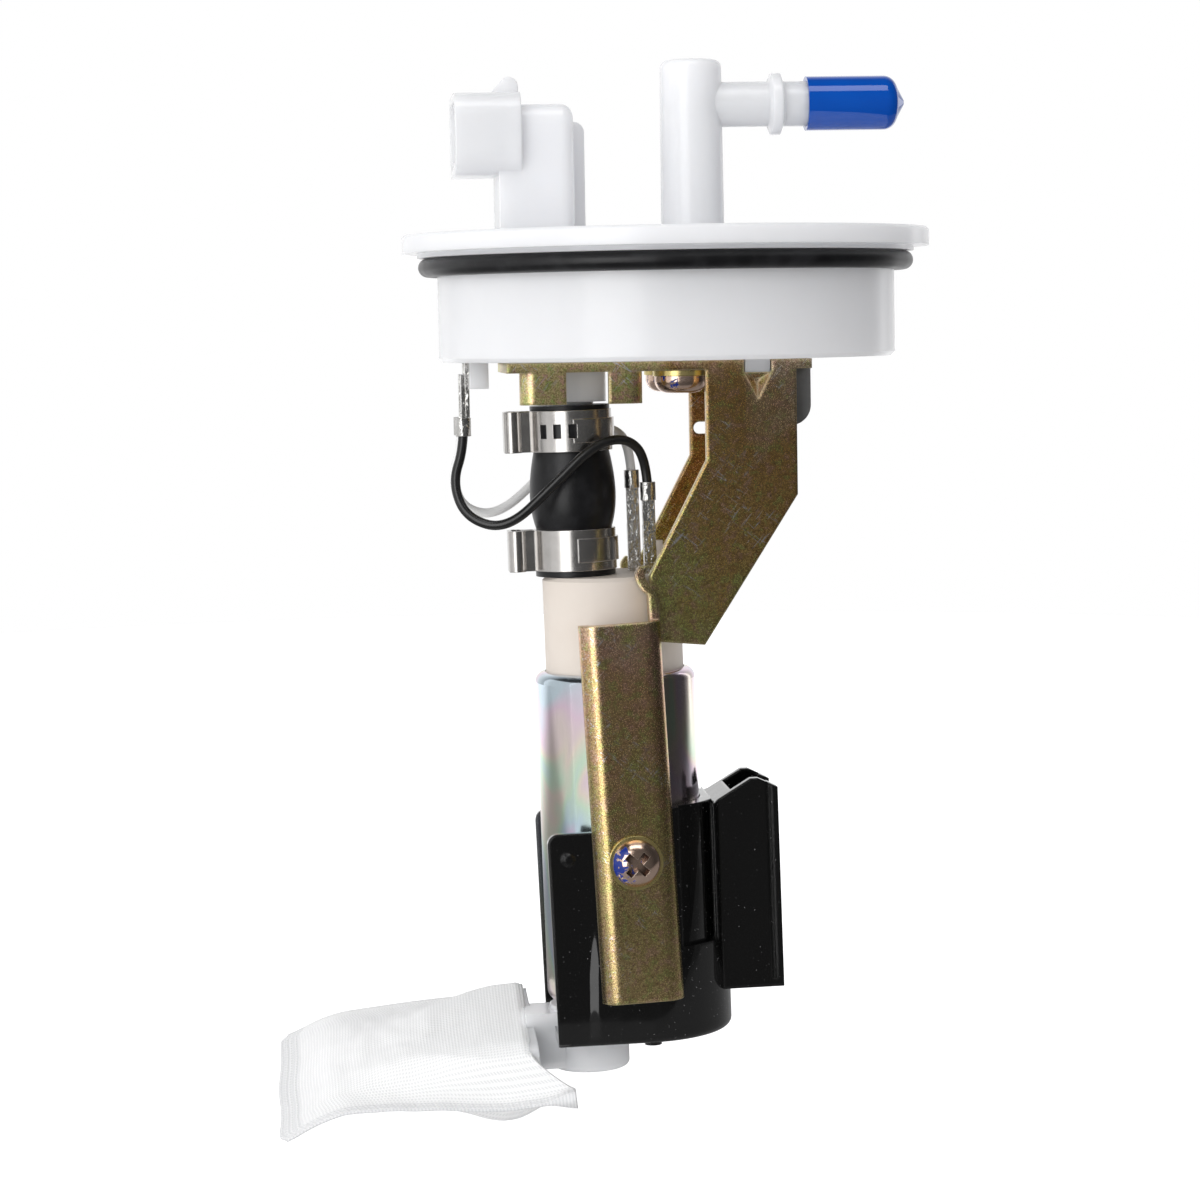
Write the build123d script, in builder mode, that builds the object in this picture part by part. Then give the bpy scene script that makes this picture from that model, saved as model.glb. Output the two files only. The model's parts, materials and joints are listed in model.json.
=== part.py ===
"""Fuel pump module: cover, bracket, hose, electric pump, holder and inlet strainer."""
import os
from math import cos, radians, sin, tan

from build123d import *

# Driving dimensions, in millimetres and degrees. The origin is on the cover's axis,
# in the plane where the rim rests on the tank, +Z is up and +X is along the outlet spigot.

# Cover: rim, skirt and seal
rim_radius = 49.3
rim_thickness = 3.4
rim_edge = 0.5
skirt_radius = 42.75
skirt_wall = 2.6
skirt_depth = 20.3
skirt_edge = 0.8
seal_cord = 3.5
seal_clearance = 0.05
shoulder_depth = 0.9
shoulder_margin = 0.15

# Cover: outlet tower, spigot and fuel gallery
tower_x = 5.3
tower_top = 35.2
tower_base_radius = 5.95
tower_draft = 0.35
tower_round = 1.5
spigot_z = 26.9
spigot_radius = 4.2
spigot_end = 40.4
spigot_chamfer = 0.6
bead_x = 21.1
bead_radius = 5.75
bead_crest = 1.7
bead_foot = 2.9
nipple_bore = 2.7
gallery_bore = 2.3
tower_bore = 2.5
spigot_bore = 2.1
gallery_z = -5.2
gallery_radius = 4.4
nipple_boss_radius = 6.8
boss_gap = 0.65
nipple_reach = 11.85
barb_height = 0.25
barb_length = 3.2

# Cover: electrical connector
shroud_left = -39.4
shroud_length = 12.2
shroud_width = 22.0
shroud_height = 15.2
shroud_centre_z = 21.6
shroud_corner = 4.5
shroud_wall = 1.6
socket_depth = 9.6
socket_key_width = 3.0
socket_key_height = 1.2
column_left = -31.4
column_right = -17.4
column_front = -9.0
column_step = 3.0
column_back = 9.0
column_top = 27.0
column_round = 3.4
column_side_round = 2.4
rib_right = -14.6
rib_top = 24.2
rib_round = 2.0
tab_left = -33.0
tab_right = -27.2
tab_top = 32.3
tab_round = 1.8
tab_width = 5.0
tab_sink = 0.6

# Electrical blades, terminals and leads
blade_pitch = 8.0
blade_width = 2.8
blade_thickness = 0.8
blade_tip_x = -37.4
blade_drop_x = -28.4
blade_jog_z = -5.0
blade_low_x = -37.9
blade_end_z = -30.6
post_bottom = -25.2
post_thickness = 3.5
post_half_width = 7.5
block_right = -26.0
block_bottom = -7.5
lead_radius = 0.9
lead_rise = 4.6
lead_hose_gap = 1.3
crimp_wall = 0.55
crimp_length = 3.4
lug_thickness = 0.8
lug_length = 8.0

# Bracket
sheet = 1.8
plate_top = -20.6
plate_left = -31.0
plate_right = 25.4
arm_face = 14.0
arm_left = 5.6
arm_right = 22.5
arm_left_bend_z = -39.0
arm_right_bend_z = -45.6
arm_low_left_x = -5.4
arm_low_left_z = -60.2
arm_low_right_x = 4.8
arm_foot_run = 1.5
arm_bottom_z = -73.2
arm_bottom_left_z = -72.4
prong_bottom = -28.3
prong_a_left = -28.5
prong_a_right = -20.1
prong_b_left = -12.3
prong_b_right = -5.9
prong_round = 2.6
prong_return = 4.0
peg_left = 13.0
peg_width = 4.6
peg_depth = 2.4
peg_bottom = -22.9
peg_clearance = 0.25
dart_apex_z = -28.0
dart_depth = 1.2
dart_slope = 45.0
slot_left = 6.3
slot_length = 8.0
slot_centre_z = -33.8
slot_height = 2.3
strip_lean = 2.8
strip_x = -11.5
strip_top_z = -68.4
strip_foot_reach = 7.4
strip_half_width = 7.6
strip_round = 3.3
web_rise = 8.2
web_lip = 0.6
web_lap = 1.0
web_sag = 0.7
web_crown = 1.7
web_flare = 2.0

# Earth tab under the plate
tab_sheet = 1.5
earth_face_y = -9.5
earth_left = 14.5
earth_right = 25.8
earth_bottom = -33.0
earth_round = 3.8
earth_foot_depth = 9.0

# Screws
plate_screw_x = 1.7
plate_screw_y = 8.0
plate_screw_radius = 2.4
plate_screw_length = 13.0
plate_head_radius = 4.9
plate_head_height = 3.2
plate_washer_radius = 5.2
plate_washer_thickness = 1.0
screw_boss_radius = 4.6
strip_screw_rise = 18.9
strip_screw_radius = 1.9
strip_head_radius = 4.35
strip_head_height = 2.6
strip_washer_radius = 5.0
strip_washer_thickness = 0.7
screw_tip_gap = 0.35
cross_width = 1.4
cross_length = 5.0
cross_depth = 1.6
cross_turn = 48.0

# Pump place and lean
pump_lean = 1.2
pump_axis_x = -10.83
barrel_top_z = -78.5

# Pump barrel and head
barrel_radius = 15.1
barrel_wall = 1.0
barrel_length = 63.0
lip_width = 1.95
foot_width = 2.5
head_fit = 0.15
head_height = 18.0
head_edge = 0.7
flange_fit = 0.2
head_flange_top = -2.6
head_bottom = -9.0
head_wall = 2.3
head_cavity_top = -3.0
outlet_height = 16.0
post_radius = 1.0
post_height = 5.6

# Places and sizes on the pump head, as shares of its radius
outlet_share = 0.5115
outlet_size = 0.3385
post_share_u = 0.723
post_share_y = 0.277
relief_share = 0.631
front_share_u = 0.538
front_share_y = -0.354
rear_share_u = 0.377
rear_share_y = 0.323

# Rotor
shaft_radius = 1.5
bush_radius = 3.2
bush_clearance = 0.03
bush_length = 5.0
upper_bush_bottom = -2.6
shaft_top = 2.2
commutator_margin = 1.4
commutator_boss = 1.0
commutator_top = -5.2
commutator_bottom = -7.6
core_top = -13.0
core_foot_gap = 5.0
core_slot_count = 8
slot_width_share = 0.27
slot_floor_share = 0.583
core_slot_mouth = 1.2
core_lip = 0.9
winding_rise = 3.6
winding_margin = 0.8
winding_inner = 3.0
winding_gap = 0.1
air_gap = 0.6
magnet_top = -10.5
magnet_foot_gap = 2.5
magnet_thickness = 3.9
magnet_arc = 132.0

# Pumping stage
casing_thickness = 7.5
inlet_cover_thickness = 12.9
stage_fit = 0.1
impeller_margin = 2.6
impeller_thickness = 3.0
impeller_side_gap = 0.08
impeller_rim_gap = 0.25
impeller_vanes = 18
vane_depth = 2.2
vane_width = 1.1
shaft_flat = 1.1
shaft_rise = 8.0
thrust_gap = 0.4
port_radius = 2.2
port_inset = 3.8
inlet_inset = 6.6
inlet_radius = 4.3
inlet_reach = 10.6

# Brushes and valves
brush_length_u = 3.6
brush_margin = 0.4
brush_rim = 0.2
brush_height = 6.0
brush_side_gap = 0.12
brush_face_gap = 0.06
brush_hole_top = 8.0
spring_wire = 0.28
brush_spring_share = 0.4
brush_spring_turns = 4
check_bore = 2.9
check_seat_w = 13.0
check_throat = 1.5
poppet_radius = 2.55
poppet_height = 3.0
check_stop_w = 27.0
check_stop_height = 1.6
check_stop_bore = 1.7
check_spring_radius = 1.9
check_spring_turns = 4
relief_y = -0.4
relief_bore = 1.75
relief_throat = 0.9
relief_seat_w = 2.0
relief_ball_radius = 1.45
relief_plug_w = 11.0
relief_plug_height = 2.0
relief_plug_bore = 0.8
relief_spring_radius = 1.1
relief_spring_turns = 4
seat_gap = 0.02

# Pump terminals
terminal_width = 2.4
terminal_foot_w = 13.5
blade_gap = 4.8
front_lug_top_w = 35.2
rear_lug_top_w = 37.2
lug_foot_w = 20.0

# Hose and clamps
hose_fit = 0.05
hose_wall = 2.65
hose_swell = 0.4
hose_bulge_swell = 0.9
hose_length = 32.0
hose_seat_gap = 0.1
clamp_band = 0.7
clamp_width = 7.7
upper_clamp_inset = 4.7
lower_clamp_inset = 5.0
ear_reach = 4.8
ear_half_width = 3.4
ear_bulb_depth = 3.2
ear_neck_half = 1.7
tongue_width = 4.4
tongue_rise = 0.45
window_width = 1.5
window_height = 2.6
window_step = 22.0
upper_window_turn = 225.0
lower_window_turn = 95.0

# Holder
holder_clearance = 0.2
holder_wall = 1.7
holder_left_margin = 0.1
holder_left_draft = 0.7
holder_bulge_u = 2.8
holder_flap_rise = 34.4
holder_back_rise = 38.2
holder_step_u = 4.0
holder_step_run = 2.6
holder_drop = 5.8
holder_floor = 2.5
holder_corner = 2.0
holder_foot_round = 1.6
land_half_width = 4.2
land_rise = 22.0
land_height = 1.6
land_length = 26.0
neck_slot_gap = 0.3
rail_sink = 3.0
rail_width = 12.4
rail_half_depth = 8.0
rail_wall = 1.8
rail_lip = 2.2
rail_foot_rise = 2.0
rail_floor = 1.6
rail_apex_run = 8.0
rail_apex_rise = 41.8
rail_shoulder_rise = 39.1
rail_back_rise = 37.6
rail_flat = 1.4
rail_groove = 0.8
channel_gap = 0.6
pocket_width = 7.1
pocket_gap = 0.2
pocket_rise = 12.0
pocket_depth = 1.6
dome_radius = 1.2
dome_inset = 3.7
dome_rise = 29.6
dome_height = 0.5
dome_slope = 30.0
nub_radius = 1.6
nub_u = 3.4
nub_inset = 1.7
nub_height = 0.7
cushion_margin = 0.2

# Strainer
neck_radius = 7.4
neck_gap = 0.5
neck_drop = 12.8
neck_floor = 1.6
neck_round = 1.0
duct_half_width = 5.4
duct_top_drop = 1.4
duct_bottom_drop = 12.0
channel_height = 7.0
duct_wall = 1.2
mouth_x = -29.2
mouth_drop = 7.1
mouth_thickness = 1.8
mouth_half_width = 13.0
mouth_half_height = 4.2
sock_tilt = 16.5
sock_slope = 6.5
sock_length = 46.5
sock_half_width = 20.5
sock_mouth_half = 4.9
sock_end_half = 0.9
sock_fabric = 0.6
sock_back = 7.4
spreader_length = 36.0
spreader_half_width = 12.0
spreader_rib = 1.4
spreader_pitch = 8.65
spreader_rows = 4

# Blue cap on the spigot
cap_start = 26.9
cap_wall = 0.8
cap_fit = 0.05
cap_inner_end = 40.8
cap_shoulder_x = 41.6
cap_nose_x = 44.0
cap_nose_radius = 3.3
cap_tip_x = 45.5
cap_tip_radius = 0.5

# Values that follow from the sizes above
lean_cos = cos(radians(pump_lean))
lean_sin = sin(radians(pump_lean))
shoulder_radius = skirt_radius + seal_clearance + seal_cord + shoulder_margin
skirt_inner = skirt_radius - skirt_wall
seal_centre_radius = skirt_radius + seal_clearance + seal_cord / 2
seal_centre_z = -shoulder_depth - seal_cord / 2
plate_bottom = plate_top - sheet
cap_inner_radius = spigot_radius + cap_fit
cap_outer_radius = cap_inner_radius + cap_wall

# Barrel, head and the places on the head
barrel_inner = barrel_radius - barrel_wall
barrel_lip_radius = barrel_radius - lip_width
barrel_foot_radius = barrel_radius - foot_width
barrel_foot = -barrel_length
foot_inner_w = barrel_foot + barrel_wall
foot_bend_w = barrel_foot + foot_width
lip_bend_w = -lip_width
head_radius = barrel_lip_radius - head_fit
head_flange_radius = barrel_inner - flange_fit
head_cavity_radius = head_flange_radius - head_wall
outlet_u = -outlet_share * head_radius
outlet_radius = outlet_size * head_radius
outlet_top = head_height + outlet_height
post_u = post_share_u * head_radius
post_y = post_share_y * head_radius
relief_u = relief_share * head_radius
front_terminal_u = front_share_u * head_radius
front_terminal_y = front_share_y * head_radius
rear_terminal_u = rear_share_u * head_radius
rear_terminal_y = rear_share_y * head_radius

# Pumping stage and rotor, from the barrel's foot up
stage_radius = barrel_inner - stage_fit
stage_foot = foot_bend_w + stage_fit
casing_floor = stage_foot + inlet_cover_thickness
casing_top = casing_floor + casing_thickness
shaft_bottom = stage_foot + shaft_rise
inlet_end = stage_foot - inlet_reach
impeller_radius = stage_radius - impeller_margin
port_u = impeller_radius - port_inset
inlet_u = inlet_inset - stage_radius
magnet_inner = barrel_inner - magnet_thickness
magnet_bottom = casing_top + magnet_foot_gap
magnet_gap_slope = tan(radians(90 - magnet_arc / 2))
core_radius = magnet_inner - air_gap
core_bottom = casing_top + core_foot_gap
core_slot_width = slot_width_share * core_radius
core_slot_floor = slot_floor_share * core_radius
slot_depth = core_radius - core_lip - core_slot_floor
slot_middle = core_slot_floor + slot_depth / 2
winding_outer = core_radius - winding_margin
commutator_radius = core_radius - commutator_margin
bush_bore = shaft_radius + bush_clearance
impeller_top = casing_floor - impeller_side_gap
impeller_bottom = impeller_top - impeller_thickness
chamber_floor = impeller_bottom - impeller_side_gap
brush_width_y = commutator_radius - brush_rim - bush_radius - brush_margin
brush_y = bush_radius + brush_margin + brush_width_y / 2
brush_spring_radius = brush_spring_share * min(brush_width_y, brush_length_u)
brush_bottom = commutator_top + brush_face_gap
brush_top = brush_bottom + brush_height
relief_ball_w = relief_seat_w + seat_gap + (relief_ball_radius**2 - relief_throat**2) ** 0.5

# Hose, clamps and the cover's nipple
hose_bore = outlet_radius + hose_fit
hose_end_radius = hose_bore + hose_wall
hose_waist = hose_end_radius + hose_swell
hose_bulge = hose_end_radius + hose_bulge_swell
hose_top_w = head_height + hose_length
upper_clamp_w = hose_top_w - upper_clamp_inset
lower_clamp_w = head_height + lower_clamp_inset
lower_clamp_low = lower_clamp_w - clamp_width / 2
lower_clamp_high = lower_clamp_w + clamp_width / 2
upper_clamp_low = upper_clamp_w - clamp_width / 2
upper_clamp_high = upper_clamp_w + clamp_width / 2
hose_free = upper_clamp_low - lower_clamp_high
clamp_radius = hose_end_radius + clamp_band
ear_bulb_u = outlet_u - clamp_radius - ear_reach + ear_bulb_depth / 2
ear_neck_run = outlet_u - hose_end_radius - ear_bulb_u
hose_top_z = barrel_top_z + hose_top_w * lean_cos + outlet_u * lean_sin
nipple_x = pump_axis_x + outlet_u * lean_cos - upper_clamp_w * lean_sin
nipple_radius = outlet_radius
nipple_boss_end = hose_top_z + boss_gap
nipple_end = hose_top_z - nipple_reach

# Terminals and leads
lug_offset = (blade_thickness + lug_thickness) / 2
terminal_top_w = min(front_lug_top_w, rear_lug_top_w) - crimp_length - blade_gap
crimp_radius = lead_radius + crimp_wall
lead_pass_y = hose_bulge + lead_radius + lead_hose_gap

# Holder, cushion and the strips beside it
holder_inner = barrel_radius + holder_clearance
holder_outer = holder_inner + holder_wall
holder_left = -barrel_radius - holder_left_margin
holder_left_low = holder_left + holder_left_draft
holder_bottom = barrel_foot - holder_drop
floor_top = holder_bottom + holder_floor
holder_flap_top = barrel_foot + holder_flap_rise
holder_back_top = barrel_foot + holder_back_rise
strip_back = holder_outer + land_height
strip_face = strip_back + sheet
strip_length = barrel_length + strip_foot_reach
strip_screw_drop = barrel_length - strip_screw_rise
land_drop = barrel_length - land_rise
land_middle = (strip_back + holder_outer - holder_wall) / 2
rail_left = holder_bulge_u + holder_outer - rail_sink
rail_right = rail_left + rail_width
rail_bottom = barrel_foot + rail_foot_rise
rail_apex_u = rail_left + rail_apex_run
rail_apex_w = barrel_foot + rail_apex_rise
rail_shoulder_w = barrel_foot + rail_shoulder_rise
rail_back_w = barrel_foot + rail_back_rise
channel_left = holder_bulge_u + holder_outer + channel_gap
channel_right = rail_right - rail_wall
channel_half = rail_half_depth - rail_wall
pocket_right = rail_left - pocket_gap
pocket_left = pocket_right - pocket_width
pocket_bottom = barrel_foot + pocket_rise
dome_u = dome_inset - barrel_radius
dome_w = barrel_foot + dome_rise
nub_y = nub_inset - barrel_radius
cushion_radius = barrel_radius - cushion_margin

# Strainer neck below the barrel
neck_top = barrel_foot - neck_gap
neck_bottom = barrel_foot - neck_drop
duct_top = barrel_foot - duct_top_drop
duct_bottom = barrel_foot - duct_bottom_drop
mouth_z = barrel_top_z + barrel_foot - mouth_drop

# Bracket details
peg_middle = peg_left + peg_width / 2
dart_half = peg_width / 2 + peg_clearance
web_foot = arm_bottom_left_z - strip_top_z
web_top = web_rise + web_crown

# Working planes
pump_x_dir = (lean_cos, 0, lean_sin)
pump_z_dir = (-lean_sin, 0, lean_cos)
pump_origin = (pump_axis_x, 0, barrel_top_z)
pump_base = Plane(origin=pump_origin, x_dir=pump_x_dir, z_dir=pump_z_dir)
pump_side = Plane(origin=pump_origin, x_dir=pump_x_dir, z_dir=(0, -1, 0))
pump_axis = Axis(pump_origin, pump_z_dir)


def side_plane(u, y):
    """Upright plane through a line parallel to the pump's axis."""
    origin = pump_base.from_local_coords((u, y, 0))
    return Plane(origin=origin, x_dir=pump_x_dir, z_dir=(0, -1, 0))


def line_axis(u, y):
    """Line parallel to the pump's axis, for turned features."""
    return Axis(pump_base.from_local_coords((u, y, 0)), pump_z_dir)


outlet_side = side_plane(outlet_u, 0)
outlet_axis = line_axis(outlet_u, 0)
relief_side = side_plane(relief_u, relief_y)
relief_axis = line_axis(relief_u, relief_y)
strip_cos = cos(radians(strip_lean))
strip_sin = sin(radians(strip_lean))
strip_x_dir = (strip_cos, 0, strip_sin)
strip_z_dir = (-strip_sin, 0, strip_cos)
strip_origin = (strip_x, 0, strip_top_z)
strip_plane = Plane(origin=strip_origin, x_dir=strip_x_dir, z_dir=strip_z_dir)
strip_edge_origin = strip_plane.from_local_coords((strip_half_width, 0, 0))
web_plane = Plane(origin=strip_edge_origin, x_dir=(0, 1, 0), z_dir=strip_x_dir)
web_front = Plane(origin=strip_edge_origin, x_dir=strip_x_dir, z_dir=(0, -1, 0))
strip_screw_point = strip_plane.from_local_coords((0, 0, -strip_screw_drop))


def screw_plane(side):
    """Plane on the strip's outer face at its screw, facing out; side is -1 front, 1 rear."""
    origin = (strip_screw_point.X, side * strip_face, strip_screw_point.Z)
    return Plane(origin=origin, x_dir=(1, 0, 0), z_dir=(0, side, 0))


# The strainer bag lies along its own plane: x runs from the mouth to the far end.
slope_cos = cos(radians(sock_slope))
slope_sin = sin(radians(sock_slope))
tilt_cos = cos(radians(sock_tilt))
tilt_sin = sin(radians(sock_tilt))
mouth_origin = (mouth_x, 0, mouth_z)
sock_run = Vector(-slope_cos, 0, -slope_sin)
sock_across = Vector(0, tilt_cos, tilt_sin)
sock_up = sock_run.cross(sock_across) * -1
sock_up = sock_up.normalized()
sock_plane = Plane(origin=mouth_origin, x_dir=sock_run, z_dir=sock_up)
sock_section = Plane(origin=mouth_origin, x_dir=sock_run, z_dir=sock_plane.y_dir * -1)
mouth_plane = Plane(origin=mouth_origin, x_dir=sock_plane.y_dir, z_dir=sock_run)
mouth_u = pump_base.to_local_coords(Vector(mouth_origin)).X
spreader_windows = [
    (spreader_rib + spreader_pitch * (row + 0.5), side * spreader_half_width / 2)
    for row in range(spreader_rows)
    for side in (-1, 1)
]


def route_radii(points):
    """Largest arc that each corner of a lead's route allows."""
    radii = []
    for before, at, after in zip(points, points[1:], points[2:]):
        run_in = Vector(at) - Vector(before)
        run_out = Vector(after) - Vector(at)
        turn = radians(run_in.get_angle(run_out))
        radii.append(0.45 * min(run_in.length, run_out.length) / tan(turn / 2))
    return radii


# Seal ring under the rim
with BuildPart() as seal_ring:
    with BuildSketch(Plane.XZ):
        with Locations((seal_centre_radius, seal_centre_z)):
            Circle(seal_cord / 2)
    revolve(axis=Axis.Z)

# Two bent blades, moulded into the cover, from the socket to the terminals below
blade_half = blade_thickness / 2
with BuildPart() as connector_blades:
    for side in (-1, 1):
        with BuildSketch(Plane.XZ.offset(-side * blade_pitch / 2)):
            with BuildLine():
                Polyline(
                    (blade_tip_x, shroud_centre_z + blade_half),
                    (blade_drop_x + blade_half, shroud_centre_z + blade_half),
                    (blade_drop_x + blade_half, blade_jog_z - blade_half),
                    (blade_low_x + blade_half, blade_jog_z - blade_half),
                    (blade_low_x + blade_half, blade_end_z),
                    (blade_low_x - blade_half, blade_end_z),
                    (blade_low_x - blade_half, blade_jog_z + blade_half),
                    (blade_drop_x - blade_half, blade_jog_z + blade_half),
                    (blade_drop_x - blade_half, shroud_centre_z - blade_half),
                    (blade_tip_x, shroud_centre_z - blade_half),
                    close=True,
                )
            make_face()
        extrude(amount=blade_width / 2, both=True)

# Moulded cover: rim, skirt, outlet tower and spigot, connector, gallery, bosses and nipple
with BuildPart() as flange_cover:
    with BuildSketch(Plane.XZ):
        with BuildLine():
            Polyline(
                (0, rim_thickness),
                (rim_radius - rim_edge, rim_thickness),
                (rim_radius, rim_thickness - rim_edge),
                (rim_radius, 0),
                (shoulder_radius, 0),
                (shoulder_radius, -shoulder_depth),
                (skirt_radius, -shoulder_depth),
                (skirt_radius, -skirt_depth + skirt_edge),
                (skirt_radius - skirt_edge, -skirt_depth),
                (skirt_inner, -skirt_depth),
                (skirt_inner, 0),
                (0, 0),
                close=True,
            )
        make_face()
    revolve(axis=Axis.Z)
    # Outlet tower with its rounded top
    with BuildSketch(Plane.XY):
        with Locations((tower_x, 0)):
            Circle(tower_base_radius)
    extrude(amount=tower_top, taper=tower_draft)
    tower_rim = flange_cover.edges().filter_by(GeomType.CIRCLE).sort_by(Axis.Z)[-1]
    fillet(tower_rim, tower_round)
    # Spigot with its retaining bead
    with BuildSketch(Plane.XZ):
        with BuildLine():
            Polyline(
                (tower_x, spigot_z),
                (tower_x, spigot_z + spigot_radius),
                (bead_x - bead_foot / 2, spigot_z + spigot_radius),
                (bead_x - bead_crest / 2, spigot_z + bead_radius),
                (bead_x + bead_crest / 2, spigot_z + bead_radius),
                (bead_x + bead_foot / 2, spigot_z + spigot_radius),
                (spigot_end - spigot_chamfer, spigot_z + spigot_radius),
                (spigot_end, spigot_z + spigot_radius - spigot_chamfer),
                (spigot_end, spigot_z),
                close=True,
            )
        make_face()
    revolve(axis=Axis((0, 0, spigot_z), (1, 0, 0)))
    # Column of the connector: front part, and a lower, wider back part
    with BuildSketch(Plane.YZ.offset(column_left)):
        with BuildLine():
            Line((column_front, 0), (column_front, column_top - column_round))
            TangentArc(
                (column_front, column_top - column_round),
                (column_front + column_round, column_top),
                tangent=(0, 1),
            )
            Polyline(
                (column_front + column_round, column_top),
                (column_step, column_top),
                (column_step, 0),
                (column_front, 0),
            )
        make_face()
    extrude(amount=column_right - column_left)
    with BuildSketch(Plane.XZ.offset(-column_back)):
        with BuildLine():
            Line((column_left, 0), (column_left, rib_top))
            Line((column_left, rib_top), (rib_right - rib_round, rib_top))
            TangentArc(
                (rib_right - rib_round, rib_top),
                (rib_right, rib_top - rib_round),
                tangent=(1, 0),
            )
            Polyline((rib_right, rib_top - rib_round), (rib_right, 0), (column_left, 0))
        make_face()
    extrude(amount=column_back - column_step)
    column_edges = flange_cover.edges().filter_by(Axis.Y).filter_by_position(
        Axis.X, column_right - 0.01, column_right + 0.01
    )
    fillet(column_edges.sort_by(Axis.Z)[-1], column_side_round)
    # Socket that faces -X
    with BuildSketch(Plane.YZ.offset(shroud_left)):
        with Locations((0, shroud_centre_z)):
            RectangleRounded(shroud_width, shroud_height, shroud_corner)
    extrude(amount=shroud_length)
    # Latch tab on the socket
    with BuildSketch(Plane.XZ):
        with BuildLine():
            FilletPolyline(
                (tab_right, column_top - tab_round),
                (tab_right, tab_top),
                (tab_right - tab_width / 2, tab_top),
                (tab_left, shroud_centre_z + shroud_height / 2 - tab_sink),
                radius=(tab_round, tab_round / 2),
            )
            Polyline(
                (tab_left, shroud_centre_z + shroud_height / 2 - tab_sink),
                (tab_left, column_top - tab_round),
                (tab_right, column_top - tab_round),
            )
        make_face()
    extrude(amount=tab_width / 2, both=True)
    with BuildSketch(Plane.YZ.offset(shroud_left)):
        with Locations((0, shroud_centre_z)):
            RectangleRounded(
                shroud_width - 2 * shroud_wall,
                shroud_height - 2 * shroud_wall,
                shroud_corner - shroud_wall,
            )
        with Locations((0, shroud_centre_z - shroud_height / 2 + shroud_wall + socket_key_height / 2)):
            Rectangle(socket_key_width, socket_key_height, mode=Mode.SUBTRACT)
    extrude(amount=socket_depth, mode=Mode.SUBTRACT)
    # Gallery from under the tower to the hose nipple
    with BuildSketch(Plane.YZ.offset(nipple_x)):
        with Locations((0, gallery_z)):
            Circle(gallery_radius)
    extrude(amount=tower_x - nipple_x)
    with BuildSketch(Plane.XY.offset(gallery_z - gallery_radius)):
        with Locations((tower_x, 0)):
            Circle(gallery_radius)
    extrude(amount=gallery_radius - gallery_z)
    # Nipple boss and barbed nipple
    with BuildSketch(Plane.XZ.shift_origin((nipple_x, 0, 0))):
        with BuildLine():
            Polyline(
                (0, 0),
                (nipple_boss_radius, 0),
                (nipple_boss_radius, nipple_boss_end),
                (nipple_radius, nipple_boss_end),
                (nipple_radius, nipple_end + 2 * barb_length),
                (nipple_radius + barb_height, nipple_end + 2 * barb_length),
                (nipple_radius, nipple_end + barb_length),
                (nipple_radius + barb_height, nipple_end + barb_length),
                (nipple_radius - barb_height, nipple_end),
                (0, nipple_end),
                close=True,
            )
        make_face()
    revolve(axis=Axis((nipple_x, 0, 0), (0, 0, 1)))
    # Screw bosses under the web
    with BuildSketch(Plane.XY.offset(plate_top)):
        with Locations((plate_screw_x, -plate_screw_y), (plate_screw_x, plate_screw_y)):
            Circle(screw_boss_radius)
    extrude(amount=-plate_top)
    # Locating peg for the bracket
    with BuildSketch(Plane.XY.offset(peg_bottom)):
        with Locations((peg_middle, -arm_face - peg_clearance + peg_depth / 2)):
            Rectangle(peg_width, peg_depth)
    extrude(amount=-peg_bottom)
    # Terminal block and post that carry the blades below the web
    with BuildSketch(Plane.XZ):
        with BuildLine():
            Polyline(
                (blade_low_x + blade_half, 0),
                (block_right, 0),
                (block_right, block_bottom),
                (blade_low_x + blade_half + post_thickness, block_bottom),
                (blade_low_x + blade_half + post_thickness, post_bottom),
                (blade_low_x + blade_half, post_bottom),
                close=True,
            )
        make_face()
    extrude(amount=post_half_width, both=True)
    # Fuel way: nipple, gallery, tower and spigot
    with BuildSketch(Plane.XY.offset(nipple_end)):
        with Locations((nipple_x, 0)):
            Circle(nipple_bore)
    extrude(amount=gallery_z + gallery_bore - nipple_end, mode=Mode.SUBTRACT)
    with BuildSketch(Plane.XY.offset(gallery_z - gallery_bore)):
        with Locations((tower_x, 0)):
            Circle(tower_bore)
    extrude(amount=spigot_z + tower_bore - gallery_z, mode=Mode.SUBTRACT)
    with BuildSketch(Plane.YZ.offset(nipple_x)):
        with Locations((0, gallery_z)):
            Circle(gallery_bore)
    extrude(amount=tower_x - nipple_x, mode=Mode.SUBTRACT)
    with BuildSketch(Plane.YZ.offset(tower_x)):
        with Locations((0, spigot_z)):
            Circle(spigot_bore)
    extrude(amount=spigot_end - tower_x, mode=Mode.SUBTRACT)
    # Screw holes
    with BuildSketch(Plane.XY.offset(plate_top)):
        with Locations((plate_screw_x, -plate_screw_y), (plate_screw_x, plate_screw_y)):
            Circle(plate_screw_radius)
    extrude(amount=plate_screw_length, mode=Mode.SUBTRACT)
    # Room for the blades
    add(connector_blades.part, mode=Mode.SUBTRACT)

# Cap that closes the spigot
with BuildPart() as port_cap:
    with BuildSketch(Plane.XZ):
        with BuildLine():
            Polyline(
                (cap_start, spigot_z + cap_inner_radius),
                (cap_start, spigot_z + cap_outer_radius),
                (cap_shoulder_x, spigot_z + cap_outer_radius),
            )
            TangentArc(
                (cap_shoulder_x, spigot_z + cap_outer_radius),
                (cap_nose_x, spigot_z + cap_nose_radius),
                tangent=(1, 0),
            )
            Polyline(
                (cap_nose_x, spigot_z + cap_nose_radius),
                (cap_tip_x, spigot_z + cap_tip_radius),
                (cap_tip_x, spigot_z),
                (cap_inner_end, spigot_z),
                (cap_inner_end, spigot_z + cap_inner_radius),
                (cap_start, spigot_z + cap_inner_radius),
            )
        make_face()
    revolve(axis=Axis((0, 0, spigot_z), (1, 0, 0)))

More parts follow.
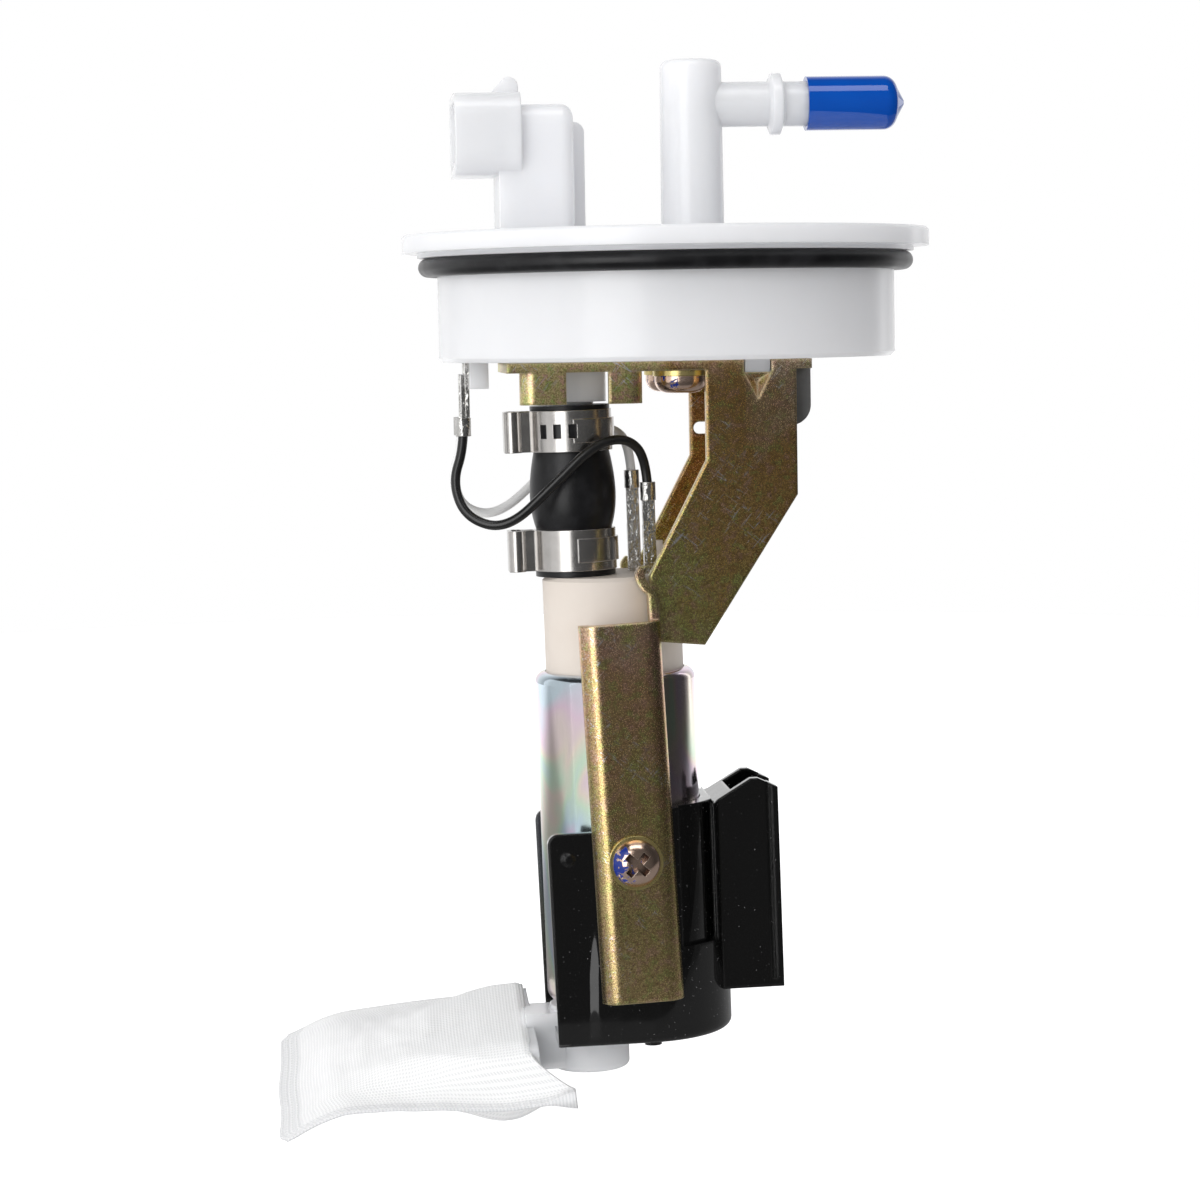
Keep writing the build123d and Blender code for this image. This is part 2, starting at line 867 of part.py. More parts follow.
# Web of the bracket: swept between the arm and the strip, with its crown flared to the left
with BuildPart() as web:
    with BuildSketch(web_plane):
        with BuildLine():
            Polyline(
                (-strip_face + strip_round, 0),
                (-strip_face + strip_round, web_foot),
                (-arm_face + web_lap, web_foot),
                (-arm_face + web_lap, web_top),
                (-arm_face - web_lip, web_top),
            )
            ThreePointArc(
                (-arm_face - web_lip, web_top),
                (-strip_face + strip_round + web_sag, web_top / 2),
                (-strip_face + strip_round, 0),
            )
        make_face()
    extrude(amount=-sheet - web_flare)
    with BuildSketch(web_front):
        with BuildLine():
            Polyline((-sheet, 0), (-sheet, web_foot), (0, web_foot), (0, 0))
            Spline(
                (0, 0),
                (-web_flare / 4, web_top / 2),
                (-web_flare, web_rise),
                (-web_flare / 2, web_top),
                tangents=((0, 1), (1, 1)),
            )
            Line((-web_flare / 2, web_top), (-web_flare / 2 - sheet, web_top))
            Spline(
                (-web_flare / 2 - sheet, web_top),
                (-web_flare - sheet, web_rise),
                (-web_flare / 4 - sheet, web_top / 2),
                (-sheet, 0),
                tangents=((-1, -1), (0, -1)),
            )
        make_face()
    extrude(amount=2 * strip_face, both=True, mode=Mode.INTERSECT)

# Stamped bracket: one sheet with a plate, two arms, two strips and two prongs
with BuildPart() as bracket:
    # Front arm
    with BuildSketch(Plane.XZ.offset(arm_face)):
        with BuildLine():
            Polyline(
                (arm_left, plate_top),
                (arm_right, plate_top),
                (arm_right, arm_right_bend_z),
                (arm_low_right_x, arm_bottom_z),
                (arm_low_left_x + arm_foot_run, arm_bottom_left_z),
                (arm_low_left_x, arm_low_left_z),
                (arm_left, arm_left_bend_z),
                close=True,
            )
        make_face()
    extrude(amount=-sheet)
    # Web between the arm and the strip
    add(web.part)
    # Strip with rolled edges
    with BuildSketch(strip_plane):
        with BuildLine():
            Line(
                (-strip_half_width, -strip_face + strip_round),
                (-strip_half_width + sheet, -strip_face + strip_round),
            )
            TangentArc(
                (-strip_half_width + sheet, -strip_face + strip_round),
                (-strip_half_width + strip_round, -strip_back),
                tangent=(0, -1),
            )
            Line(
                (-strip_half_width + strip_round, -strip_back),
                (strip_half_width - strip_round, -strip_back),
            )
            TangentArc(
                (strip_half_width - strip_round, -strip_back),
                (strip_half_width - sheet, -strip_face + strip_round),
                tangent=(1, 0),
            )
            Line(
                (strip_half_width - sheet, -strip_face + strip_round),
                (strip_half_width, -strip_face + strip_round),
            )
            TangentArc(
                (strip_half_width, -strip_face + strip_round),
                (strip_half_width - strip_round, -strip_face),
                tangent=(0, -1),
            )
            Line(
                (strip_half_width - strip_round, -strip_face),
                (-strip_half_width + strip_round, -strip_face),
            )
            TangentArc(
                (-strip_half_width + strip_round, -strip_face),
                (-strip_half_width, -strip_face + strip_round),
                tangent=(-1, 0),
            )
        make_face()
    extrude(amount=-strip_length)
    # Hole for the strip screw
    with BuildSketch(screw_plane(-1)):
        Circle(strip_screw_radius)
    extrude(amount=-2 * sheet, mode=Mode.SUBTRACT)
    # The rear arm and strip mirror the front ones
    mirror(about=Plane.XZ)
    # Plate under the cover
    with BuildSketch(Plane.XY.offset(plate_bottom)):
        with Locations(((plate_left + plate_right) / 2, 0)):
            Rectangle(plate_right - plate_left, 2 * arm_face)
        with Locations((nipple_x, 0)):
            Circle(nipple_boss_radius + peg_clearance, mode=Mode.SUBTRACT)
        with Locations((plate_screw_x, -plate_screw_y), (plate_screw_x, plate_screw_y)):
            Circle(plate_screw_radius, mode=Mode.SUBTRACT)
    extrude(amount=sheet)
    # Prongs bent down from the front edge, each with its outer side turned back
    for inner, outer, way in ((prong_a_right, prong_a_left, 1), (prong_b_left, prong_b_right, -1)):
        with BuildSketch(Plane.XY.offset(prong_bottom)):
            with BuildLine():
                Line((inner, -arm_face), (outer + way * prong_round, -arm_face))
                TangentArc(
                    (outer + way * prong_round, -arm_face),
                    (outer, -arm_face + prong_round),
                    tangent=(-way, 0),
                )
                Polyline(
                    (outer, -arm_face + prong_round),
                    (outer, -arm_face + prong_return),
                    (outer + way * sheet, -arm_face + prong_return),
                    (outer + way * sheet, -arm_face + prong_round),
                )
                TangentArc(
                    (outer + way * sheet, -arm_face + prong_round),
                    (outer + way * prong_round, -arm_face + sheet),
                    tangent=(0, -1),
                )
                Polyline(
                    (outer + way * prong_round, -arm_face + sheet),
                    (inner, -arm_face + sheet),
                    (inner, -arm_face),
                )
            make_face()
        extrude(amount=plate_top - prong_bottom)
    # Notch for the cover's peg
    with BuildSketch(Plane.XY.offset(peg_bottom)):
        with Locations((peg_middle, -arm_face)):
            Rectangle(peg_width + 2 * peg_clearance, 2 * (peg_depth + peg_clearance))
    extrude(amount=plate_top - peg_bottom, mode=Mode.SUBTRACT)
    # Pressed dart in the front arm below the notch
    with BuildSketch(Plane.XZ.offset(arm_face)):
        with BuildLine():
            Polyline(
                (peg_middle - dart_half, peg_bottom),
                (peg_middle + dart_half, peg_bottom),
                (peg_middle, dart_apex_z),
                close=True,
            )
        make_face()
    extrude(amount=-dart_depth, taper=dart_slope, mode=Mode.SUBTRACT)
    # Slot in the rear arm
    with BuildSketch(Plane.XZ.offset(-arm_face)):
        with Locations((slot_left + slot_length / 2, slot_centre_z)):
            SlotOverall(slot_length, slot_height)
    extrude(amount=sheet, mode=Mode.SUBTRACT)

# Steel earth tab fixed under the plate
with BuildPart() as earth_tab:
    with BuildSketch(Plane.XZ.offset(-earth_face_y)):
        with BuildLine():
            Polyline(
                (earth_left, earth_bottom),
                (earth_left, plate_bottom),
                (earth_right, plate_bottom),
                (earth_right, earth_bottom + earth_round),
            )
            TangentArc(
                (earth_right, earth_bottom + earth_round),
                (earth_right - earth_round, earth_bottom),
                tangent=(0, -1),
            )
            Line((earth_right - earth_round, earth_bottom), (earth_left, earth_bottom))
        make_face()
    extrude(amount=-tab_sheet)
    with BuildSketch(Plane.XY.offset(plate_bottom)):
        with Locations(((earth_left + earth_right) / 2, earth_face_y + earth_foot_depth / 2)):
            Rectangle(earth_right - earth_left, earth_foot_depth)
    extrude(amount=-tab_sheet)

# Washers and cross-head screws that hold the plate to the cover
with BuildPart() as plate_washers:
    with BuildSketch(Plane.XY.offset(plate_bottom)):
        with Locations((plate_screw_x, -plate_screw_y), (plate_screw_x, plate_screw_y)):
            Circle(plate_washer_radius)
            Circle(plate_screw_radius, mode=Mode.SUBTRACT)
    extrude(amount=-plate_washer_thickness)

plate_seat = plate_bottom - plate_washer_thickness
with BuildPart() as plate_screws:
    for side in (-1, 1):
        screw_origin = (plate_screw_x, side * plate_screw_y, 0)
        with BuildSketch(Plane(origin=screw_origin, x_dir=(1, 0, 0), z_dir=(0, -1, 0))):
            with BuildLine():
                Polyline(
                    (0, plate_seat - plate_head_height),
                    (0, plate_top + plate_screw_length - screw_tip_gap),
                    (plate_screw_radius, plate_top + plate_screw_length - screw_tip_gap),
                    (plate_screw_radius, plate_seat),
                    (plate_head_radius, plate_seat),
                    (plate_head_radius, plate_seat - plate_head_height / 3),
                )
                Line(
                    (0, plate_seat - plate_head_height),
                    (plate_head_radius / 2, plate_seat - plate_head_height),
                )
                TangentArc(
                    (plate_head_radius / 2, plate_seat - plate_head_height),
                    (plate_head_radius, plate_seat - plate_head_height / 3),
                    tangent=(1, 0),
                )
            make_face()
        revolve(axis=Axis(screw_origin, (0, 0, 1)))
    with BuildSketch(Plane.XY.offset(plate_seat - plate_head_height)):
        with Locations((plate_screw_x, -plate_screw_y), (plate_screw_x, plate_screw_y)):
            Rectangle(cross_length, cross_width)
            Rectangle(cross_width, cross_length)
    extrude(amount=cross_depth, mode=Mode.SUBTRACT)

# Washers and cross-head screws that hold the strips to the holder
with BuildPart() as strip_washers:
    for side in (-1, 1):
        with BuildSketch(screw_plane(side)):
            Circle(strip_washer_radius)
            Circle(strip_screw_radius, mode=Mode.SUBTRACT)
        extrude(amount=strip_washer_thickness)

strip_screw_reach = strip_face - holder_inner - screw_tip_gap
strip_head_top = strip_washer_thickness + strip_head_height
with BuildPart() as strip_screws:
    for side in (-1, 1):
        face_plane = screw_plane(side)
        with BuildSketch(Plane(origin=face_plane.origin, x_dir=(1, 0, 0), z_dir=(0, 0, side))):
            with BuildLine():
                Polyline(
                    (0, strip_head_top),
                    (0, -strip_screw_reach),
                    (strip_screw_radius, -strip_screw_reach),
                    (strip_screw_radius, strip_washer_thickness),
                    (strip_head_radius, strip_washer_thickness),
                    (strip_head_radius, strip_washer_thickness + strip_head_height / 4),
                )
                Line((0, strip_head_top), (strip_head_radius / 3, strip_head_top))
                TangentArc(
                    (strip_head_radius / 3, strip_head_top),
                    (strip_head_radius, strip_washer_thickness + strip_head_height / 4),
                    tangent=(1, 0),
                )
            make_face()
        revolve(axis=Axis(face_plane.origin, (0, side, 0)))
        with BuildSketch(face_plane.offset(strip_head_top)):
            Rectangle(cross_length, cross_width, rotation=cross_turn)
            Rectangle(cross_width, cross_length, rotation=cross_turn)
        extrude(amount=-cross_depth, mode=Mode.SUBTRACT)

# Rolled steel barrel of the pump
with BuildPart() as pump_barrel:
    with BuildSketch(pump_side):
        with BuildLine():
            Line((barrel_foot_radius, -barrel_length), (barrel_foot_radius, foot_inner_w))
            TangentArc(
                (barrel_foot_radius, foot_inner_w),
                (barrel_inner, foot_bend_w),
                tangent=(1, 0),
            )
            Line((barrel_inner, foot_bend_w), (barrel_inner, lip_bend_w))
            TangentArc(
                (barrel_inner, lip_bend_w),
                (barrel_lip_radius, -barrel_wall),
                tangent=(0, 1),
            )
            Line((barrel_lip_radius, -barrel_wall), (barrel_lip_radius, 0))
            TangentArc((barrel_lip_radius, 0), (barrel_radius, lip_bend_w), tangent=(1, 0))
            Line((barrel_radius, lip_bend_w), (barrel_radius, foot_bend_w))
            TangentArc(
                (barrel_radius, foot_bend_w),
                (barrel_foot_radius, -barrel_length),
                tangent=(0, -1),
            )
        make_face()
    revolve(axis=pump_axis)

# Pump head with outlet nipple, brush holes, valve bores and terminal slots
with BuildPart() as pump_head:
    with BuildSketch(pump_side):
        with BuildLine():
            Polyline(
                (0, head_cavity_top),
                (0, head_height),
                (head_radius - head_edge, head_height),
                (head_radius, head_height - head_edge),
                (head_radius, head_flange_top),
                (head_flange_radius, head_flange_top),
                (head_flange_radius, head_bottom),
                (head_cavity_radius, head_bottom),
                (head_cavity_radius, head_cavity_top),
                close=True,
            )
        make_face()
    revolve(axis=pump_axis)
    with BuildSketch(outlet_side):
        with BuildLine():
            Polyline(
                (0, head_height - head_edge),
                (0, outlet_top),
                (outlet_radius - barb_height, outlet_top),
                (outlet_radius + barb_height, outlet_top - barb_length),
                (outlet_radius, outlet_top - barb_length),
                (outlet_radius + barb_height, outlet_top - 2 * barb_length),
                (outlet_radius, outlet_top - 2 * barb_length),
                (outlet_radius, head_height - head_edge),
                close=True,
            )
        make_face()
    revolve(axis=outlet_axis)
    with BuildSketch(pump_base.offset(head_height)):
        with Locations((post_u, post_y)):
            Circle(post_radius)
    extrude(amount=post_height)
    # Bush, brushes
    with BuildSketch(pump_base.offset(head_cavity_top)):
        Circle(bush_radius)
    extrude(amount=upper_bush_bottom + bush_length - head_cavity_top, mode=Mode.SUBTRACT)
    with BuildSketch(pump_base.offset(head_cavity_top)):
        with Locations((0, -brush_y), (0, brush_y)):
            Rectangle(brush_length_u + 2 * brush_side_gap, brush_width_y + 2 * brush_side_gap)
    extrude(amount=brush_hole_top - head_cavity_top, mode=Mode.SUBTRACT)
    # Check valve in the outlet
    with BuildSketch(pump_base.offset(head_cavity_top)):
        with Locations((outlet_u, 0)):
            Circle(check_throat)
    extrude(amount=outlet_top - head_cavity_top, mode=Mode.SUBTRACT)
    with BuildSketch(pump_base.offset(check_seat_w)):
        with Locations((outlet_u, 0)):
            Circle(check_bore)
    extrude(amount=outlet_top - check_seat_w, mode=Mode.SUBTRACT)
    # Relief valve
    with BuildSketch(pump_base.offset(head_cavity_top)):
        with Locations((relief_u, relief_y)):
            Circle(relief_throat)
    extrude(amount=head_height - head_cavity_top, mode=Mode.SUBTRACT)
    with BuildSketch(pump_base.offset(relief_seat_w)):
        with Locations((relief_u, relief_y)):
            Circle(relief_bore)
    extrude(amount=relief_plug_w + relief_plug_height - relief_seat_w, mode=Mode.SUBTRACT)
    # Terminal slots
    with BuildSketch(pump_base.offset(terminal_foot_w)):
        with Locations((front_terminal_u, front_terminal_y), (rear_terminal_u, rear_terminal_y)):
            Rectangle(terminal_width, blade_thickness)
    extrude(amount=head_height - terminal_foot_w, mode=Mode.SUBTRACT)

# Blades on the pump head
with BuildPart() as pump_blades:
    with BuildSketch(pump_base.offset(terminal_foot_w)):
        with Locations((front_terminal_u, front_terminal_y), (rear_terminal_u, rear_terminal_y)):
            Rectangle(terminal_width, blade_thickness)
    extrude(amount=terminal_top_w - terminal_foot_w)

# Bushes that carry the shaft
with BuildPart() as upper_bush:
    with BuildSketch(pump_base.offset(upper_bush_bottom)):
        Circle(bush_radius)
        Circle(bush_bore, mode=Mode.SUBTRACT)
    extrude(amount=bush_length)

with BuildPart() as lower_bush:
    with BuildSketch(pump_base.offset(casing_top)):
        Circle(bush_radius)
        Circle(bush_bore, mode=Mode.SUBTRACT)
    extrude(amount=-bush_length)

# Rotor: shaft, laminated core, windings and face commutator
with BuildPart() as rotor_shaft:
    with BuildSketch(pump_base.offset(shaft_bottom)):
        Circle(shaft_radius)
    extrude(amount=shaft_top - shaft_bottom)
    with BuildSketch(pump_base.offset(shaft_bottom)):
        with Locations((shaft_flat + shaft_radius, 0)):
            Rectangle(2 * shaft_radius, 4 * shaft_radius)
    extrude(amount=impeller_top - shaft_bottom, mode=Mode.SUBTRACT)

with BuildPart() as armature_core:
    with BuildSketch(pump_base.offset(core_bottom)):
        Circle(core_radius)
        Circle(shaft_radius, mode=Mode.SUBTRACT)
        with PolarLocations(slot_middle, core_slot_count):
            Rectangle(slot_depth, core_slot_width, mode=Mode.SUBTRACT)
        with PolarLocations(core_radius, core_slot_count):
            Rectangle(2 * core_lip, core_slot_mouth, mode=Mode.SUBTRACT)
    extrude(amount=core_top - core_bottom)

with BuildPart() as armature_windings:
    with BuildSketch(pump_base.offset(core_bottom)):
        with PolarLocations(slot_middle, core_slot_count):
            Rectangle(slot_depth - 2 * winding_gap, core_slot_width - 2 * winding_gap)
    extrude(amount=core_top - core_bottom)
    with BuildSketch(pump_base.offset(core_top)):
        Circle(winding_outer)
        Circle(winding_inner, mode=Mode.SUBTRACT)
    extrude(amount=winding_rise)
    with BuildSketch(pump_base.offset(core_bottom)):
        Circle(winding_outer)
        Circle(winding_inner, mode=Mode.SUBTRACT)
    extrude(amount=-winding_rise)

with BuildPart() as commutator:
    with BuildSketch(pump_base.offset(commutator_bottom)):
        Circle(commutator_radius)
        Circle(shaft_radius, mode=Mode.SUBTRACT)
    extrude(amount=commutator_top - commutator_bottom)
    with BuildSketch(pump_base.offset(commutator_bottom)):
        Circle(winding_inner + commutator_boss)
        Circle(shaft_radius, mode=Mode.SUBTRACT)
    extrude(amount=core_top + winding_rise - commutator_bottom)

# Two curved magnets inside the barrel
with BuildPart() as magnets:
    with BuildSketch(pump_base.offset(magnet_bottom)):
        Circle(barrel_inner)
        Circle(magnet_inner, mode=Mode.SUBTRACT)
        with BuildLine(mode=Mode.PRIVATE) as magnet_gap:
            Polyline(
                (0, 0),
                (2 * barrel_radius, 2 * barrel_radius * magnet_gap_slope),
                (2 * barrel_radius, -2 * barrel_radius * magnet_gap_slope),
                close=True,
            )
        make_face(magnet_gap.edges(), mode=Mode.SUBTRACT)
        with BuildLine(mode=Mode.PRIVATE) as magnet_gap_left:
            Polyline(
                (0, 0),
                (-2 * barrel_radius, 2 * barrel_radius * magnet_gap_slope),
                (-2 * barrel_radius, -2 * barrel_radius * magnet_gap_slope),
                close=True,
            )
        make_face(magnet_gap_left.edges(), mode=Mode.SUBTRACT)
    extrude(amount=magnet_top - magnet_bottom)

# Pumping stage: casing above the impeller, inlet cover below it
with BuildPart() as casing_plate:
    with BuildSketch(pump_base.offset(casing_floor)):
        Circle(stage_radius)
        Circle(bush_bore, mode=Mode.SUBTRACT)
        with Locations((port_u, 0)):
            Circle(port_radius, mode=Mode.SUBTRACT)
    extrude(amount=casing_top - casing_floor)
    with BuildSketch(pump_base.offset(casing_top)):
        Circle(bush_radius)
    extrude(amount=-bush_length, mode=Mode.SUBTRACT)

with BuildPart() as impeller:
    with BuildSketch(pump_base.offset(impeller_bottom)):
        Circle(impeller_radius)
        with PolarLocations(impeller_radius, impeller_vanes):
            Rectangle(2 * vane_depth, vane_width, mode=Mode.SUBTRACT)
    extrude(amount=impeller_thickness)
    add(rotor_shaft.part, mode=Mode.SUBTRACT)

with BuildPart() as inlet_cover:
    with BuildSketch(pump_base.offset(stage_foot)):
        Circle(stage_radius)
    extrude(amount=casing_floor - stage_foot)
    with BuildSketch(pump_base.offset(stage_foot)):
        with Locations((inlet_u, 0)):
            Circle(inlet_radius)
    extrude(amount=inlet_end - stage_foot)
    with BuildSketch(pump_base.offset(chamber_floor)):
        Circle(impeller_radius + impeller_rim_gap)
    extrude(amount=casing_floor - chamber_floor, mode=Mode.SUBTRACT)
    with BuildSketch(pump_base.offset(shaft_bottom - thrust_gap)):
        Circle(shaft_radius + thrust_gap)
    extrude(amount=chamber_floor - shaft_bottom + thrust_gap, mode=Mode.SUBTRACT)
    with BuildSketch(pump_base.offset(inlet_end)):
        with Locations((inlet_u, 0)):
            Circle(check_bore)
    extrude(amount=chamber_floor - inlet_end, mode=Mode.SUBTRACT)

# Carbon brushes and their springs
with BuildPart() as front_brush:
    with BuildSketch(pump_base.offset(brush_bottom)):
        with Locations((0, -brush_y)):
            Rectangle(brush_length_u, brush_width_y)
    extrude(amount=brush_height)

with BuildPart() as rear_brush:
    with BuildSketch(pump_base.offset(brush_bottom)):
        with Locations((0, brush_y)):
            Rectangle(brush_length_u, brush_width_y)
    extrude(amount=brush_height)


def coil_spring(u, y, low, high, radius, turns):
    """Coil spring between two heights of the pump's frame."""
    rise = high - low - 2 * spring_wire
    centre = pump_base.from_local_coords((u, y, low + spring_wire))
    with BuildPart() as coil:
        with BuildLine():
            turns_line = Helix(rise / turns, rise, radius, center=centre, direction=pump_z_dir)
        with BuildSketch(Plane(origin=turns_line @ 0, z_dir=turns_line % 0)):
            Circle(spring_wire)
        sweep(path=turns_line)
    return coil.part


front_brush_spring = coil_spring(
    0, -brush_y, brush_top, brush_hole_top, brush_spring_radius, brush_spring_turns
)
rear_brush_spring = coil_spring(
    0, brush_y, brush_top, brush_hole_top, brush_spring_radius, brush_spring_turns
)

# Check valve: poppet, spring and pressed-in stop
with BuildPart() as check_poppet:
    with BuildSketch(pump_base.offset(check_seat_w + seat_gap)):
        with Locations((outlet_u, 0)):
            Circle(poppet_radius)
    extrude(amount=poppet_height)

check_spring = coil_spring(
    outlet_u,
    0,
    check_seat_w + seat_gap + poppet_height,
    check_stop_w,
    check_spring_radius,
    check_spring_turns,
)

with BuildPart() as check_stop:
    with BuildSketch(pump_base.offset(check_stop_w)):
        with Locations((outlet_u, 0)):
            Circle(check_bore)
            Circle(check_stop_bore, mode=Mode.SUBTRACT)
    extrude(amount=check_stop_height)

# Relief valve: ball, spring and pressed-in plug
with BuildPart() as relief_ball:
    with BuildSketch(relief_side):
        with Locations((0, relief_ball_w)):
            Circle(relief_ball_radius)
        with Locations((-relief_ball_radius, relief_ball_w)):
            Rectangle(2 * relief_ball_radius, 2 * relief_ball_radius, mode=Mode.SUBTRACT)
    revolve(axis=relief_axis)

relief_spring = coil_spring(
    relief_u,
    relief_y,
    relief_ball_w + relief_ball_radius,
    relief_plug_w,
    relief_spring_radius,
    relief_spring_turns,
)

with BuildPart() as relief_plug:
    with BuildSketch(pump_base.offset(relief_plug_w)):
        with Locations((relief_u, relief_y)):
            Circle(relief_bore)
            Circle(relief_plug_bore, mode=Mode.SUBTRACT)
    extrude(amount=relief_plug_height)

# Rubber hose between the two nipples
with BuildPart() as outlet_hose:
    with BuildSketch(outlet_side):
        with BuildLine():
            Polyline(
                (hose_end_radius, lower_clamp_high),
                (hose_end_radius, lower_clamp_low),
                (hose_waist, lower_clamp_low - hose_seat_gap),
                (hose_waist, head_height + hose_seat_gap),
                (hose_bore, head_height + hose_seat_gap),
                (hose_bore, hose_top_w),
                (hose_waist, hose_top_w),
                (hose_waist, upper_clamp_high + hose_seat_gap),
                (hose_end_radius, upper_clamp_high),
                (hose_end_radius, upper_clamp_low),
            )
            Spline(
                (hose_end_radius, upper_clamp_low),
                (hose_waist, upper_clamp_low - 0.14 * hose_free),
                (hose_bulge, lower_clamp_high + 0.3 * hose_free),
                (hose_end_radius, lower_clamp_high),
            )
        make_face()
    revolve(axis=outlet_axis)


def hose_clamp(middle_w, window_turn, tongue_turn):
    """Spring-steel hose clamp with its folded ear, windows and locking tongue."""
    with BuildPart() as clamp:
        with BuildSketch(pump_base.offset(middle_w)):
            # The ear is a hollow bulb on a pinched neck
            with Locations((ear_bulb_u, 0)):
                SlotOverall(2 * ear_half_width, ear_bulb_depth, rotation=90)
                Rectangle(ear_neck_run, 2 * ear_neck_half, align=(Align.MIN, Align.CENTER))
                SlotOverall(
                    2 * (ear_half_width - clamp_band),
                    ear_bulb_depth - 2 * clamp_band,
                    rotation=90,
                    mode=Mode.SUBTRACT,
                )
                Rectangle(
                    ear_neck_run,
                    2 * (ear_neck_half - clamp_band),
                    align=(Align.MIN, Align.CENTER),
                    mode=Mode.SUBTRACT,
                )
            with Locations((outlet_u, 0)):
                Circle(clamp_radius)
                Circle(hose_end_radius, mode=Mode.SUBTRACT)
        extrude(amount=clamp_width / 2, both=True)
        with BuildSketch(pump_base.offset(middle_w)):
            with Locations((outlet_u, 0)):
                Circle(clamp_radius + tongue_rise)
                Circle(clamp_radius, mode=Mode.SUBTRACT)
            with Locations((outlet_u, 0)):
                Rectangle(
                    2 * clamp_radius,
                    4 * clamp_radius,
                    align=(Align.MIN, Align.CENTER),
                    rotation=tongue_turn,
                    mode=Mode.INTERSECT,
                )
        extrude(amount=tongue_width / 2, both=True)
        centre = pump_base.from_local_coords((outlet_u, 0, middle_w))
        for step in (0, 1, 2):
            turn = radians(window_turn + step * window_step)
            out_dir = pump_base.x_dir * cos(turn) + pump_base.y_dir * sin(turn)
            with BuildSketch(Plane(origin=centre, x_dir=pump_z_dir, z_dir=out_dir)):
                Rectangle(window_height, window_width)
            extrude(amount=2 * clamp_radius, mode=Mode.SUBTRACT)
    return clamp.part


upper_clamp = hose_clamp(upper_clamp_w, upper_window_turn, 0)
lower_clamp = hose_clamp(lower_clamp_w, lower_window_turn, 0)

# Crimped terminals on the cover's blades
with BuildPart() as cover_crimps:
    for side in (-1, 1):
        lug_y = side * blade_pitch / 2
        with BuildSketch(Plane.XY.offset(blade_end_z)):
            with Locations((blade_low_x - lug_offset, lug_y)):
                Rectangle(lug_thickness, blade_width)
        extrude(amount=lug_length)
        with BuildSketch(Plane.XY.offset(blade_end_z)):
            with Locations((blade_low_x - lug_offset, lug_y)):
                Circle(crimp_radius)
        extrude(amount=-crimp_length)
        with BuildSketch(Plane.XY.offset(blade_end_z - lug_thickness)):
            with Locations((blade_low_x - lug_offset, lug_y)):
                Circle(lead_radius)
        extrude(amount=-crimp_length, mode=Mode.SUBTRACT)

# Crimped terminals on the pump's blades
with BuildPart() as pump_crimps:
    for u, y, top in (
        (front_terminal_u, front_terminal_y - lug_offset, front_lug_top_w),
        (rear_terminal_u, rear_terminal_y - lug_offset, rear_lug_top_w),
    ):
        with BuildSketch(pump_base.offset(lug_foot_w)):
            with Locations((u, y)):
                Rectangle(terminal_width, lug_thickness)
        extrude(amount=top - crimp_length - lug_foot_w)
        with BuildSketch(pump_base.offset(top)):
            with Locations((u, y)):
                Circle(crimp_radius)
        extrude(amount=-crimp_length)
        with BuildSketch(pump_base.offset(top)):
            with Locations((u, y)):
                Circle(lead_radius)
        extrude(amount=lug_thickness - crimp_length, mode=Mode.SUBTRACT)

# Leads from the cover's terminals to the pump's terminals
front_crimp_point = (front_terminal_u, front_terminal_y - lug_offset, front_lug_top_w)
rear_crimp_point = (rear_terminal_u, rear_terminal_y - lug_offset, rear_lug_top_w)
front_crimp_top = pump_base.from_local_coords(front_crimp_point)
rear_crimp_top = pump_base.from_local_coords(rear_crimp_point)
lead_grip = crimp_length - lug_thickness
pump_up = Vector(pump_z_dir)
black_route = (
    (blade_low_x - lug_offset, -blade_pitch / 2, blade_end_z - lug_thickness),
    (blade_low_x - lug_offset, -blade_pitch / 2, -36.2),
    (-41.0, -5.2, -42.6),
    (-38.6, -7.0, -49.2),
    (-31.2, -9.4, -51.3),
    (-22.6, -lead_pass_y, -43.3),
    (-14.9, -lead_pass_y, -35.8),
    (-8.7, -8.4, -34.6),
    tuple(front_crimp_top + pump_up * lead_rise),
    tuple(front_crimp_top - pump_up * lead_grip),
)
white_route = (
    (blade_low_x - lug_offset, blade_pitch / 2, blade_end_z - lug_thickness),
    (blade_low_x - lug_offset, blade_pitch / 2, -36.2),
    (-40.6, 5.2, -42.0),
    (-38.6, 7.6, -48.2),
    (-31.7, 9.0, -49.7),
    (-22.6, lead_pass_y, -41.6),
    (-15.7, lead_pass_y + lead_radius / 2, -34.1),
    (-9.8, 8.2, -33.0),
    tuple(rear_crimp_top + pump_up * lead_rise),
    tuple(rear_crimp_top - pump_up * lead_grip),
)
black_radii = route_radii(black_route)
white_radii = route_radii(white_route)

with BuildPart() as black_lead:
    with BuildLine():
        black_line = FilletPolyline(*black_route, radius=black_radii)
    with BuildSketch(Plane(origin=black_line @ 0, z_dir=black_line % 0)):
        Circle(lead_radius)
    sweep(path=black_line)

with BuildPart() as white_lead:
    with BuildLine():
        white_line = FilletPolyline(*white_route, radius=white_radii)
    with BuildSketch(Plane(origin=white_line @ 0, z_dir=white_line % 0)):
        Circle(lead_radius)
    sweep(path=white_line)

